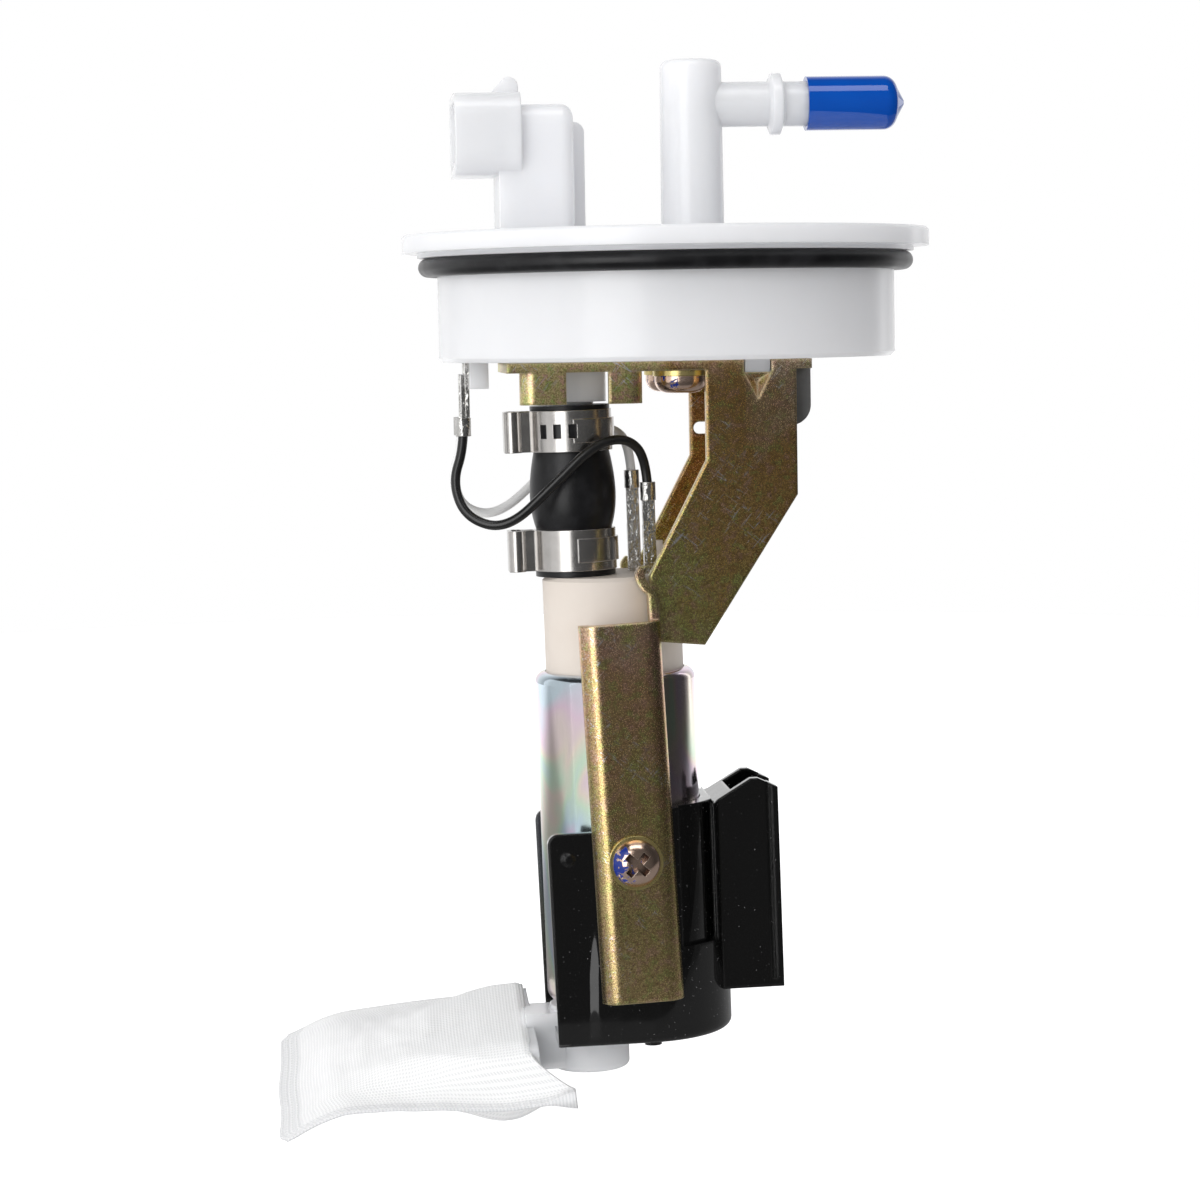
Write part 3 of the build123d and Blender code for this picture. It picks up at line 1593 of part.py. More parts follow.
# Moulded holder: open cup round the barrel, with a rail for a level sender
with BuildPart() as holder:
    with BuildSketch(pump_base.offset(holder_bottom)):
        with BuildLine():
            Polyline(
                (holder_bulge_u, holder_outer),
                (holder_left, holder_outer),
                (holder_left, -holder_outer),
                (holder_bulge_u, -holder_outer),
            )
            ThreePointArc(
                (holder_bulge_u, -holder_outer),
                (holder_bulge_u + holder_outer, 0),
                (holder_bulge_u, holder_outer),
            )
        make_face()
    extrude(amount=holder_back_top - holder_bottom)
    fillet(holder.edges().group_by(pump_axis)[0], holder_foot_round)
    # Flat lands under the two strips
    with BuildSketch(strip_plane.offset(-land_drop)):
        with Locations((0, -land_middle), (0, land_middle)):
            Rectangle(2 * land_half_width, strip_back - holder_outer + holder_wall)
    extrude(amount=-land_length)
    # Rail with its gabled top
    with BuildSketch(pump_base.offset(rail_bottom)):
        with Locations(((rail_left + rail_right) / 2, 0)):
            Rectangle(rail_right - rail_left, 2 * rail_half_depth)
    extrude(amount=rail_apex_w - rail_bottom)
    with BuildSketch(pump_side):
        with BuildLine():
            Polyline(
                (rail_left, rail_apex_w + rail_wall),
                (rail_left, rail_back_w),
                (rail_apex_u - rail_flat / 2, rail_apex_w),
                (rail_apex_u + rail_flat / 2, rail_apex_w),
                (rail_right + rail_wall, rail_shoulder_w),
                (rail_right + rail_wall, rail_apex_w + rail_wall),
                close=True,
            )
        make_face()
    extrude(amount=2 * rail_half_depth, both=True, mode=Mode.SUBTRACT)
    with BuildSketch(pump_base.offset(rail_bottom + rail_floor)):
        with Locations(((channel_left + channel_right) / 2, 0)):
            Rectangle(channel_right - channel_left, 2 * channel_half)
        with Locations((rail_right, 0)):
            Rectangle(2 * rail_wall, 2 * (channel_half - rail_lip))
    extrude(amount=rail_apex_w - rail_bottom, mode=Mode.SUBTRACT)
    with BuildSketch(pump_base.offset(rail_bottom + rail_floor)):
        with Locations((channel_right, -rail_half_depth), (channel_right, rail_half_depth)):
            Rectangle(rail_groove, 2 * rail_groove)
    extrude(amount=rail_apex_w - rail_bottom, mode=Mode.SUBTRACT)
    # Inside of the cup, open at the left
    with BuildSketch(pump_base.offset(floor_top)):
        Circle(holder_inner)
        with Locations((holder_left, 0)):
            Rectangle(-2 * holder_left, 2 * holder_inner)
    extrude(amount=holder_back_top - floor_top, mode=Mode.SUBTRACT)
    # Fork in the floor for the strainer's neck
    with BuildSketch(pump_base.offset(holder_bottom)):
        with Locations((inlet_u, 0)):
            Circle(neck_radius + neck_slot_gap)
        with Locations((2 * inlet_u, 0)):
            Rectangle(-2 * inlet_u, 2 * (neck_radius + neck_slot_gap))
    extrude(amount=holder_floor, mode=Mode.SUBTRACT)
    # Low front and rear flaps with a rounded corner and a drafted edge
    with BuildSketch(pump_side):
        with BuildLine():
            FilletPolyline(
                (holder_left_low, holder_bottom),
                (holder_left, holder_flap_top),
                (holder_step_u, holder_flap_top),
                (holder_step_u + holder_step_run, holder_back_top),
                radius=(holder_corner, holder_corner),
            )
            Polyline(
                (holder_step_u + holder_step_run, holder_back_top),
                (2 * holder_left, holder_back_top),
                (2 * holder_left, holder_bottom),
                (holder_left_low, holder_bottom),
            )
        make_face()
    extrude(amount=2 * holder_outer, both=True, mode=Mode.SUBTRACT)
    # Pockets between the cup and the rail
    with BuildSketch(pump_base.offset(pocket_bottom)):
        with Locations(((pocket_left + pocket_right) / 2, 0)):
            Rectangle(pocket_right - pocket_left, 2 * holder_outer)
        with Locations((holder_bulge_u, 0)):
            Circle(holder_outer - pocket_depth, mode=Mode.SUBTRACT)
    extrude(amount=holder_back_top - pocket_bottom, mode=Mode.SUBTRACT)
    # Gate mark on the front flap and nub under the floor
    dome_origin = pump_base.from_local_coords((dome_u, -holder_outer, dome_w))
    with BuildSketch(Plane(origin=dome_origin, x_dir=pump_x_dir, z_dir=(0, -1, 0))):
        Circle(dome_radius)
    extrude(amount=dome_height, taper=dome_slope)
    with BuildSketch(pump_base.offset(holder_bottom)):
        with Locations((nub_u, nub_y)):
            Circle(nub_radius)
    extrude(amount=-nub_height)
    # Holes for the strip screws
    for side in (-1, 1):
        with BuildSketch(screw_plane(side)):
            Circle(strip_screw_radius)
        extrude(amount=holder_inner - holder_wall - strip_face, mode=Mode.SUBTRACT)

# Rubber cushion under the barrel
with BuildPart() as rubber_cushion:
    with BuildSketch(pump_base.offset(floor_top)):
        Circle(cushion_radius)
        with Locations((inlet_u, 0)):
            Circle(neck_radius + neck_slot_gap, mode=Mode.SUBTRACT)
        with Locations((2 * inlet_u, 0)):
            Rectangle(-2 * inlet_u, 2 * (neck_radius + neck_slot_gap), mode=Mode.SUBTRACT)
    extrude(amount=-barrel_length - floor_top)

# Strainer neck: cup on the pump's inlet, side duct and mouth plate
with BuildPart() as strainer_neck:
    with BuildSketch(pump_base.offset(neck_bottom)):
        with Locations((inlet_u, 0)):
            Circle(neck_radius)
    extrude(amount=neck_top - neck_bottom)
    fillet(strainer_neck.edges().group_by(pump_axis)[0], neck_round)
    with BuildSketch(pump_base.offset(duct_bottom)):
        with Locations(((inlet_u + mouth_u) / 2, 0)):
            Rectangle(inlet_u - mouth_u, 2 * duct_half_width)
    extrude(amount=duct_top - duct_bottom)
    with BuildSketch(mouth_plane):
        RectangleRounded(2 * mouth_half_width, 2 * mouth_half_height, mouth_thickness)
    extrude(amount=-mouth_thickness)
    with BuildSketch(pump_base.offset(neck_bottom + neck_floor)):
        with Locations((inlet_u, 0)):
            Circle(inlet_radius)
    extrude(amount=neck_top - neck_bottom, mode=Mode.SUBTRACT)
    with BuildSketch(pump_base.offset(duct_bottom + duct_wall)):
        with Locations(((inlet_u + 2 * mouth_u) / 2, 0)):
            Rectangle(inlet_u - 2 * mouth_u, 2 * (duct_half_width - duct_wall))
    extrude(amount=channel_height, mode=Mode.SUBTRACT)

# Plastic spreader that keeps the bag open
with BuildPart() as strainer_spreader:
    with BuildSketch(sock_plane):
        with Locations((spreader_length / 2, 0)):
            Rectangle(spreader_length, 2 * spreader_half_width)
        with Locations(*spreader_windows):
            Rectangle(
                spreader_pitch - spreader_rib,
                spreader_half_width - 1.5 * spreader_rib,
                mode=Mode.SUBTRACT,
            )
    extrude(amount=spreader_rib / 2, both=True)
    add(strainer_neck.part, mode=Mode.SUBTRACT)

# Mesh bag, drawn as a plain closed shell
with BuildPart() as strainer_sock:
    with BuildSketch(sock_plane):
        with BuildLine():
            Polyline(
                (-mouth_thickness - sock_fabric, -sock_half_width),
                (sock_length, -sock_half_width),
                (sock_length, sock_half_width),
                (-sock_back, sock_half_width),
                (-sock_back / 2, duct_half_width + sock_back / 2),
                (-mouth_thickness - sock_fabric, duct_half_width + sock_back / 4),
                close=True,
            )
        make_face()
    extrude(amount=2 * sock_mouth_half, both=True)
    with BuildSketch(sock_section):
        with BuildLine():
            Polyline(
                (-2 * sock_back, sock_mouth_half),
                (-2 * sock_back, -sock_mouth_half),
                (0, -sock_mouth_half),
                (sock_length, -sock_end_half),
                (sock_length, sock_end_half),
                (0, sock_mouth_half),
                close=True,
            )
        make_face()
    extrude(amount=2 * sock_half_width, both=True, mode=Mode.INTERSECT)
    with BuildSketch(sock_section):
        with BuildLine():
            Polyline(
                (-mouth_thickness, sock_mouth_half - sock_fabric),
                (-mouth_thickness, -sock_mouth_half + sock_fabric),
                (0, -sock_mouth_half + sock_fabric),
                (sock_length - 2 * sock_end_half, -sock_end_half + sock_fabric),
                (sock_length - 2 * sock_end_half, sock_end_half - sock_fabric),
                (0, sock_mouth_half - sock_fabric),
                close=True,
            )
        make_face()
    extrude(amount=sock_half_width - sock_fabric, both=True, mode=Mode.SUBTRACT)
    add(strainer_neck.part, mode=Mode.SUBTRACT)

# Every piece under its own name
pieces = {
    "flange_cover": flange_cover.part,
    "seal_ring": seal_ring.part,
    "port_cap": port_cap.part,
    "connector_blades": connector_blades.part,
    "bracket": bracket.part,
    "earth_tab": earth_tab.part,
    "plate_washers": plate_washers.part,
    "plate_screws": plate_screws.part,
    "strip_washers": strip_washers.part,
    "strip_screws": strip_screws.part,
    "outlet_hose": outlet_hose.part,
    "upper_clamp": upper_clamp,
    "lower_clamp": lower_clamp,
    "cover_crimps": cover_crimps.part,
    "pump_crimps": pump_crimps.part,
    "black_lead": black_lead.part,
    "white_lead": white_lead.part,
    "pump_head": pump_head.part,
    "pump_blades": pump_blades.part,
    "pump_barrel": pump_barrel.part,
    "magnets": magnets.part,
    "upper_bush": upper_bush.part,
    "lower_bush": lower_bush.part,
    "rotor_shaft": rotor_shaft.part,
    "armature_core": armature_core.part,
    "armature_windings": armature_windings.part,
    "commutator": commutator.part,
    "front_brush": front_brush.part,
    "rear_brush": rear_brush.part,
    "front_brush_spring": front_brush_spring,
    "rear_brush_spring": rear_brush_spring,
    "check_poppet": check_poppet.part,
    "check_spring": check_spring,
    "check_stop": check_stop.part,
    "relief_ball": relief_ball.part,
    "relief_spring": relief_spring,
    "relief_plug": relief_plug.part,
    "casing_plate": casing_plate.part,
    "impeller": impeller.part,
    "inlet_cover": inlet_cover.part,
    "holder": holder.part,
    "rubber_cushion": rubber_cushion.part,
    "strainer_neck": strainer_neck.part,
    "strainer_spreader": strainer_spreader.part,
    "strainer_sock": strainer_sock.part,
}
os.makedirs("parts", exist_ok=True)
for name, piece in pieces.items():
    piece.label = name
    export_step(piece, f"parts/{name}.step")

print("black lead radii", [round(radius, 1) for radius in black_radii])
print("white lead radii", [round(radius, 1) for radius in white_radii])
print("black lead length", round(black_line.length, 1))
print("white lead length", round(white_line.length, 1))
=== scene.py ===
# %% [markdown]
# # A fuel pump module, dressed for its picture
# The solids come from a imported model, so every piece is already in place, in metres.
# This lesson sets up a camera and a soft studio, paints each piece with nodes, copies the small
# springs into pieces of their own, lays the two leads as smooth curves and sews the strainer bag.

# %% Load the solids
import json
import math

import bpy
from mathutils import Matrix, Vector, noise

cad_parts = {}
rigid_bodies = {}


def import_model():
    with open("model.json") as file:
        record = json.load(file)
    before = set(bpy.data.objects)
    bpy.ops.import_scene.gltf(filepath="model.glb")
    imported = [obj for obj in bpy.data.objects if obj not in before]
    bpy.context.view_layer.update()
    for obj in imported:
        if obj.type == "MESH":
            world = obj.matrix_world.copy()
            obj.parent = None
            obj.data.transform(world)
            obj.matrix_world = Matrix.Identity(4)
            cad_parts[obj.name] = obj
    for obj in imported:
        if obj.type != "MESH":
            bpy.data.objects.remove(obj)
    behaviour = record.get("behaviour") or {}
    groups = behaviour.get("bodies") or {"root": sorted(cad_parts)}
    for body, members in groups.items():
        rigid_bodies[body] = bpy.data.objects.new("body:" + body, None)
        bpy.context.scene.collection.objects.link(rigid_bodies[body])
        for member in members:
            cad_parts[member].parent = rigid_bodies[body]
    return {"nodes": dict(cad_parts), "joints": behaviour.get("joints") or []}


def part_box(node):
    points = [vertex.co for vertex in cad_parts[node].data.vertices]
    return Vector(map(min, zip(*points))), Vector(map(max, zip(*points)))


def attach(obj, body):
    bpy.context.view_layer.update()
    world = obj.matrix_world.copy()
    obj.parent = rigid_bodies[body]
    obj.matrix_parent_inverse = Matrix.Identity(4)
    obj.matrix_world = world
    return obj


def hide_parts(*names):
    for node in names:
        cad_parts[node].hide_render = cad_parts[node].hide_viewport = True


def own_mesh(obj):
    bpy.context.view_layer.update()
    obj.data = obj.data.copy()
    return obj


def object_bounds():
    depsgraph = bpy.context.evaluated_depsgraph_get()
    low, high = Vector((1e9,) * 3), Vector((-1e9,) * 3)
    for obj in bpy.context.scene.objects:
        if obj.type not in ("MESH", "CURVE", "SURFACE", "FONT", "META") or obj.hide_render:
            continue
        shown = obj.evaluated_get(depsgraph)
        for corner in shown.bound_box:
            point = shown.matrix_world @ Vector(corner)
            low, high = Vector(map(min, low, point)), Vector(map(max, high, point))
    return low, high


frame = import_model()
cad_box = [list(corner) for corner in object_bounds()]
nodes = frame["nodes"]
scene = bpy.context.scene
MM = 0.001
bpy.ops.object.select_all(action="DESELECT")

# %% [markdown]
# ## The camera
# The photograph looks almost level at the module, a little from its left and a little from
# above, through a long lens. The camera could be moved by eye until the picture fits. Here the
# pixel where the cover's origin is seen is known, so the camera's place follows from the lens,
# the angles and the distance, and stays right if an angle changes.

# %% Camera from the photograph's angles
PICTURE_PX = 1200
ORIGIN_PX = (665.0, 250.0)
LENS_MM = 100.0
SENSOR_MM = 36.0
DISTANCE = 0.625
AZIMUTH = math.radians(5.0)
DOWNWARD = math.radians(4.7)
ROLL = math.radians(1.0)

ahead = Vector((
    math.sin(AZIMUTH) * math.cos(DOWNWARD),
    math.cos(AZIMUTH) * math.cos(DOWNWARD),
    -math.sin(DOWNWARD),
))
level = Vector((math.cos(AZIMUTH), -math.sin(AZIMUTH), 0.0))
upright = level.cross(ahead)
right = level * math.cos(ROLL) - upright * math.sin(ROLL)
up = upright * math.cos(ROLL) + level * math.sin(ROLL)

metres_per_px = DISTANCE / (PICTURE_PX * LENS_MM / SENSOR_MM)
aside = right * ((ORIGIN_PX[0] - PICTURE_PX / 2) * metres_per_px)
above = up * ((PICTURE_PX / 2 - ORIGIN_PX[1]) * metres_per_px)
eye = -(ahead * DISTANCE + aside + above)

bpy.ops.object.camera_add(location=eye)
camera = bpy.context.object
camera.name = "photo_camera"
camera.data.lens = LENS_MM
camera.data.sensor_width = SENSOR_MM
camera.data.clip_start = 0.01
camera.rotation_euler = Matrix((right, up, -ahead)).transposed().to_euler()
scene.camera = camera
print("camera at", [round(v, 3) for v in eye])

# %% [markdown]
# ## Sums between sockets
# A node tree is easier to read when its maths is written as Python. `Wire` wraps an output
# socket and turns `a * 2 + b` into Math nodes. `Finish` is one material with a single method
# that adds any other node: its settings first, then the values or links of its sockets.


# %% Wires
class Wire:
    """An output socket that can be added, multiplied and compared."""

    def __init__(self, tree, socket):
        self.tree = tree
        self.socket = socket

    def sum(self, operation, first, second):
        node = self.tree.nodes.new("ShaderNodeMath")
        node.operation = operation
        for slot, value in zip(node.inputs, (first, second)):
            if isinstance(value, Wire):
                self.tree.links.new(value.socket, slot)
            else:
                slot.default_value = value
        return Wire(self.tree, node.outputs[0])

    def __add__(self, other):
        return self.sum("ADD", self, other)

    def __radd__(self, other):
        return self.sum("ADD", other, self)

    def __sub__(self, other):
        return self.sum("SUBTRACT", self, other)

    def __rsub__(self, other):
        return self.sum("SUBTRACT", other, self)

    def __mul__(self, other):
        return self.sum("MULTIPLY", self, other)

    def __rmul__(self, other):
        return self.sum("MULTIPLY", other, self)

    def __truediv__(self, other):
        return self.sum("DIVIDE", self, other)

    def __gt__(self, other):
        return self.sum("GREATER_THAN", self, other)


# %% Finishes
class Finish:
    """One material, or the world, and the nodes in it."""

    def __init__(self, owner):
        owner.use_nodes = True
        self.owner = owner
        self.tree = owner.node_tree

    def add(self, kind, settings=None, links=None, out=0):
        """Any node: its settings, the values or links of its sockets, and one output."""
        node = self.tree.nodes.new(kind)
        for name, value in (settings or {}).items():
            if name == "stops":
                ramp = node.color_ramp
                while len(ramp.elements) < len(value):
                    ramp.elements.new(0.5)
                for element, (place, colour) in zip(ramp.elements, value):
                    element.position = place
                    element.color = (*colour, 1.0)
            else:
                setattr(node, name, value)
        for name, value in (links or {}).items():
            if isinstance(value, Wire):
                self.tree.links.new(value.socket, node.inputs[name])
            else:
                node.inputs[name].default_value = value
        return Wire(self.tree, node.outputs[out])

    def rays(self):
        """Three masks: seen straight by the camera, seen in a mirror, seen through."""
        paths = self.tree.nodes.new("ShaderNodeLightPath")
        kinds = ("Is Camera Ray", "Is Glossy Ray", "Is Transmission Ray")
        return [Wire(self.tree, paths.outputs[kind]) for kind in kinds]

    def place(self, scale=(1, 1, 1)):
        """Object coordinates in millimetres, stretched."""
        where = self.add("ShaderNodeTexCoord", out=3)
        links = {"Vector": where, "Scale": [s / MM for s in scale]}
        return self.add("ShaderNodeMapping", links=links)

    def coordinate(self, axis):
        """One of the object coordinates "X", "Y" or "Z", in millimetres."""
        return self.add("ShaderNodeSeparateXYZ", links={0: self.place()}, out="XYZ".index(axis))

    def noise(self, size, detail=3.0, rough=0.55, scale=(1, 1, 1), twist=0.0):
        """Noise whose features are about `size` millimetres across."""
        links = {
            "Vector": self.place(scale),
            "Scale": 1 / size,
            "Detail": detail,
            "Roughness": rough,
            "Distortion": twist,
        }
        return self.add("ShaderNodeTexNoise", links=links)

    def streaks(self, size, length, lean, twist):
        """Noise drawn out into lines, `length` times as long as wide."""
        where = self.add("ShaderNodeTexCoord", out=3)
        links = {"Vector": where, "Scale": (MM, MM, MM * length), "Rotation": (0, lean, 0)}
        drawn = self.add("ShaderNodeMapping", {"vector_type": "TEXTURE"}, links)
        links = {"Vector": drawn, "Scale": 1 / size, "Detail": 1.0, "Distortion": twist}
        return self.add("ShaderNodeTexNoise", links=links)

    def step(self, value, low, high):
        """0 at low and before it, 1 at high and past it, smooth between."""
        links = {"Value": value, "From Min": low, "From Max": high}
        return self.add("ShaderNodeMapRange", {"interpolation_type": "SMOOTHSTEP"}, links)

    def ramp(self, value, stops):
        """A colour for each value, blended between stops."""
        return self.add("ShaderNodeValToRGB", {"stops": stops}, {"Fac": value})

    def mix(self, share, first, second):
        """Blend two colours."""
        def colour(c):
            return c if isinstance(c, Wire) else (*c, 1.0)

        links = {0: share, 6: colour(first), 7: colour(second)}
        return self.add("ShaderNodeMix", {"data_type": "RGBA"}, links, out=2)

    def round_edges(self, radius):
        """Normal of the piece with its sharp edges eased, in millimetres."""
        return self.add("ShaderNodeBevel", {"samples": 6}, {"Radius": radius * MM})

    def edge_mask(self, radius):
        """1 close to a sharp edge, 0 on flat ground."""
        eased = self.round_edges(radius)
        flat = self.add("ShaderNodeNewGeometry", out=1)
        settings = {"operation": "DOT_PRODUCT"}
        agree = self.add("ShaderNodeVectorMath", settings, {0: eased, 1: flat}, out=1)
        return self.step(1 - agree, 0.002, 0.12)

    def hollows(self, reach):
        """1 deep in a recess, 0 on open ground; `reach` is in millimetres."""
        settings = {"samples": 8, "only_local": True}
        links = {"Distance": reach * MM}
        return 1 - self.add("ShaderNodeAmbientOcclusion", settings, links, out=1)

    def bump(self, height, depth, strength=1.0, normal=None):
        """Relief; `depth` is in millimetres."""
        links = {"Height": height, "Distance": depth * MM, "Strength": strength}
        if normal is not None:
            links["Normal"] = normal
        return self.add("ShaderNodeBump", links=links)

    def surface(self, **sockets):
        """Fill the Principled shader; names use _ for a space."""
        shader = next(n for n in self.tree.nodes if n.type == "BSDF_PRINCIPLED")
        for name, value in sockets.items():
            slot = shader.inputs[name.replace("_", " ")]
            if isinstance(value, Wire):
                self.tree.links.new(value.socket, slot)
            elif isinstance(value, tuple) and len(value) == 3 and len(slot.default_value) == 4:
                slot.default_value = (*value, 1.0)
            else:
                slot.default_value = value
        return self.owner


# %% Naming and painting
def finish(name):
    return Finish(bpy.data.materials.new(name))


def grey(value):
    return (value, value, value)


def paint(material, *names):
    """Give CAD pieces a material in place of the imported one."""
    for name in names:
        slots = nodes[name].data.materials
        slots.clear()
        slots.append(material)
    print(material.name, "on", ", ".join(names))


# %% [markdown]
# ## The studio
# The picture was taken on white: a bright sweep behind, large soft boxes at the left, a narrow
# one at the right and one overhead, with the dark room behind the camera. That dark room is
# what makes the bare metal that faces us look deep, so one even white world wouldn't do. The
# world carries the sweep and the room in its reflections; five area lamps are the soft boxes.

# %% World
world = bpy.data.worlds.new("white_sweep")
scene.world = world
studio = Finish(world)
look = studio.add("ShaderNodeTexCoord", out=0)
look_y = studio.add("ShaderNodeSeparateXYZ", links={0: look}, out=1)
ROOM_STOPS = [
    (0.0, grey(0.10)),
    (0.15, grey(0.07)),
    (0.35, grey(0.035)),
    (0.70, grey(0.05)),
    (0.85, (0.55, 0.55, 0.56)),
    (0.95, grey(1.0)),
]
room = studio.ramp(look_y * 0.5 + 0.5, ROOM_STOPS)
straight, mirrored, through = studio.rays()
bounce = studio.mix((mirrored + through) > 0.5, (0.50, 0.50, 0.51), room)
sky = studio.mix(straight, bounce, grey(1.0))
background = next(n for n in studio.tree.nodes if n.type == "BACKGROUND")
studio.tree.links.new(sky.socket, background.inputs["Color"])
background.inputs["Strength"].default_value = 1.0
scene.view_settings.view_transform = "Standard"
print("room from", ROOM_STOPS[0][1][0], "in front to", ROOM_STOPS[-1][1][0], "behind")


# %% Soft boxes
def soft_box(name, at, aim, size, watts):
    bpy.ops.object.light_add(type="AREA", location=at)
    lamp = bpy.context.object
    lamp.name = name
    lamp.data.shape = "RECTANGLE"
    lamp.data.size, lamp.data.size_y = size
    lamp.data.energy = watts
    toward = Vector(aim) - Vector(at)
    lamp.rotation_euler = toward.to_track_quat("-Z", "Y").to_euler()
    print("soft box", name, watts, "W")


PUMP = (0.0, 0.0, -0.06)
COVER = (0.0, 0.0, 0.02)
soft_box("left_box", at=(-0.80, 0.15, 0.0), aim=PUMP, size=(0.9, 0.9), watts=1.7)
soft_box("fill_box", at=(-0.70, -0.46, 0.04), aim=PUMP, size=(0.5, 0.9), watts=1.1)
soft_box("key_box", at=(-0.50, -0.83, 0.12), aim=PUMP, size=(0.5, 1.0), watts=4.1)
soft_box("right_box", at=(0.60, 0.50, 0.05), aim=PUMP, size=(0.12, 0.8), watts=0.28)
soft_box("top_box", at=(0.0, -0.40, 0.80), aim=COVER, size=(0.7, 0.4), watts=2.2)

# %% [markdown]
# ## The floor
# A pale disc catches the module's soft shadow. A plain white floor would also throw its light
# back into the metal in front, so in reflections the disc is dark towards the camera and
# glows only behind the module, like the sweep.

# %% Floor
FLOOR_GAP = 0.004
FLOOR_RADIUS = 0.62
FLOOR_BACK = 0.50
floor_z = cad_box[0][2] - FLOOR_GAP
bpy.ops.mesh.primitive_circle_add(
    vertices=96, radius=FLOOR_RADIUS, fill_type="NGON", location=(0, FLOOR_BACK, floor_z),
)
floor = bpy.context.object
floor.name = "pale_floor"
white_floor = finish("pale_floor")
floor_straight, floor_mirrored, floor_through = white_floor.rays()
reflected = floor_mirrored + floor_through
behind = white_floor.step(white_floor.coordinate("Y"), -300, 0)
pale = white_floor.mix(white_floor.noise(60, detail=2.0), grey(0.90), grey(0.94))
white_floor.surface(
    Base_Color=white_floor.mix(reflected * (1 - behind), pale, grey(0.10)),
    Roughness=0.6,
    Emission_Color=white_floor.mix(floor_straight + reflected * behind, grey(0.15), grey(0.72)),
    Emission_Strength=1.0,
)
floor.data.materials.append(white_floor.owner)
print("floor at", round(floor_z, 4))

# %% [markdown]
# ## Natural nylon
# The cover and the strainer's neck are moulded in uncoloured nylon: milky white, slightly
# see-through at thin edges, with a satin skin. A plain white shader would look like chalk.
# Subsurface scattering gives the milkiness, a broad noise the uneven shade of a thick
# moulding, and a fine one the satin.

# %% Natural nylon
nylon = finish("natural_nylon")
cloud = nylon.noise(14, detail=2.0)
skin = nylon.noise(0.25, detail=2.0)
flow = nylon.noise(6, detail=1.0, scale=(1, 1, 0.25), twist=0.6)
nylon.surface(
    Base_Color=nylon.mix(cloud, (0.815, 0.82, 0.84), (0.87, 0.875, 0.895)),
    Roughness=0.17 + skin * 0.10,
    Normal=nylon.bump(skin * 0.25 + flow * 0.75, 0.02, 0.5, nylon.round_edges(0.45)),
    Subsurface_Weight=0.8,
    Subsurface_Radius=(0.0075, 0.0072, 0.0070),
    Subsurface_Scale=1.0,
    Specular_IOR_Level=0.5,
)
paint(nylon.owner, "flange_cover", "strainer_neck", "strainer_spreader")

# %% [markdown]
# ## Rubber
# The seal ring, hose and cushion are black rubber. One flat black would look cut out of the
# picture: real rubber is dusted grey here and there and its gloss comes and goes, so one noise
# drives both.

# %% Black rubber
rubber = finish("black_rubber")
dust = rubber.noise(5, detail=4.0)
pores = rubber.noise(0.35, detail=2.0)
dusted = rubber.step(dust, 0.45, 0.75)
rubber.surface(
    Base_Color=rubber.mix(dusted, (0.006, 0.006, 0.007), (0.018, 0.018, 0.020)),
    Roughness=0.26 + dust * 0.20,
    Specular_IOR_Level=0.4,
    Normal=rubber.bump(pores, 0.03, 0.5),
)
paint(rubber.owner, "seal_ring", "outlet_hose", "rubber_cushion")

# %% [markdown]
# ## Dipped blue vinyl
# The cap is a dipped vinyl sleeve: saturated blue, wet-looking, with a gently uneven skin. The
# wet look could come from a very low roughness alone; a thin coat over a slightly rougher base
# keeps a soft edge around each highlight.

# %% Blue vinyl
vinyl = finish("blue_vinyl")
wobble = vinyl.noise(4, detail=1.0)
tint = vinyl.noise(9, detail=2.0)
vinyl.surface(
    Base_Color=vinyl.mix(tint, (0.0, 0.060, 0.38), (0.0, 0.085, 0.47)),
    Roughness=0.05 + wobble * 0.04,
    Normal=vinyl.bump(wobble, 0.05, 0.4),
    Coat_Weight=0.5,
    Coat_Roughness=0.03,
)
paint(vinyl.owner, "port_cap")

# %% [markdown]
# ## Yellow zinc
# The bracket is pressed from sheet, then zinc plated and dipped in yellow chromate. As the
# dip drains off, its film ends up thinner in some places, so the colour drifts between olive,
# gold, green and pink. A ramp over the height and the width of the bracket, shaken by a cloudy
# noise, follows that drain without a painted picture.

# %% Yellow zinc film
zinc = finish("yellow_zinc")
zinc_x = zinc.coordinate("X")
zinc_z = zinc.coordinate("Z")
cloudy = zinc.noise(9, detail=3.0, scale=(1, 1, 0.6), twist=0.8)
DRAIN_START = -150
DRAIN_LENGTH = 160
DRAIN_STRAY = 70
FILM_STOPS = [
    (0.02, (0.92, 0.72, 0.36)),
    (0.24, (0.80, 0.67, 0.28)),
    (0.33, (0.90, 0.59, 0.33)),
    (0.43, (1.0, 0.68, 0.50)),
    (0.53, (0.78, 0.78, 0.28)),
    (0.64, (0.84, 0.57, 0.21)),
    (0.80, (0.74, 0.46, 0.17)),
    (0.94, (1.0, 0.82, 0.58)),
]
drain = zinc_x + zinc_z + (cloudy - 0.5) * DRAIN_STRAY
film = zinc.ramp((drain - DRAIN_START) / DRAIN_LENGTH, FILM_STOPS)
print("film of", len(FILM_STOPS), "colours over", DRAIN_LENGTH, "mm")
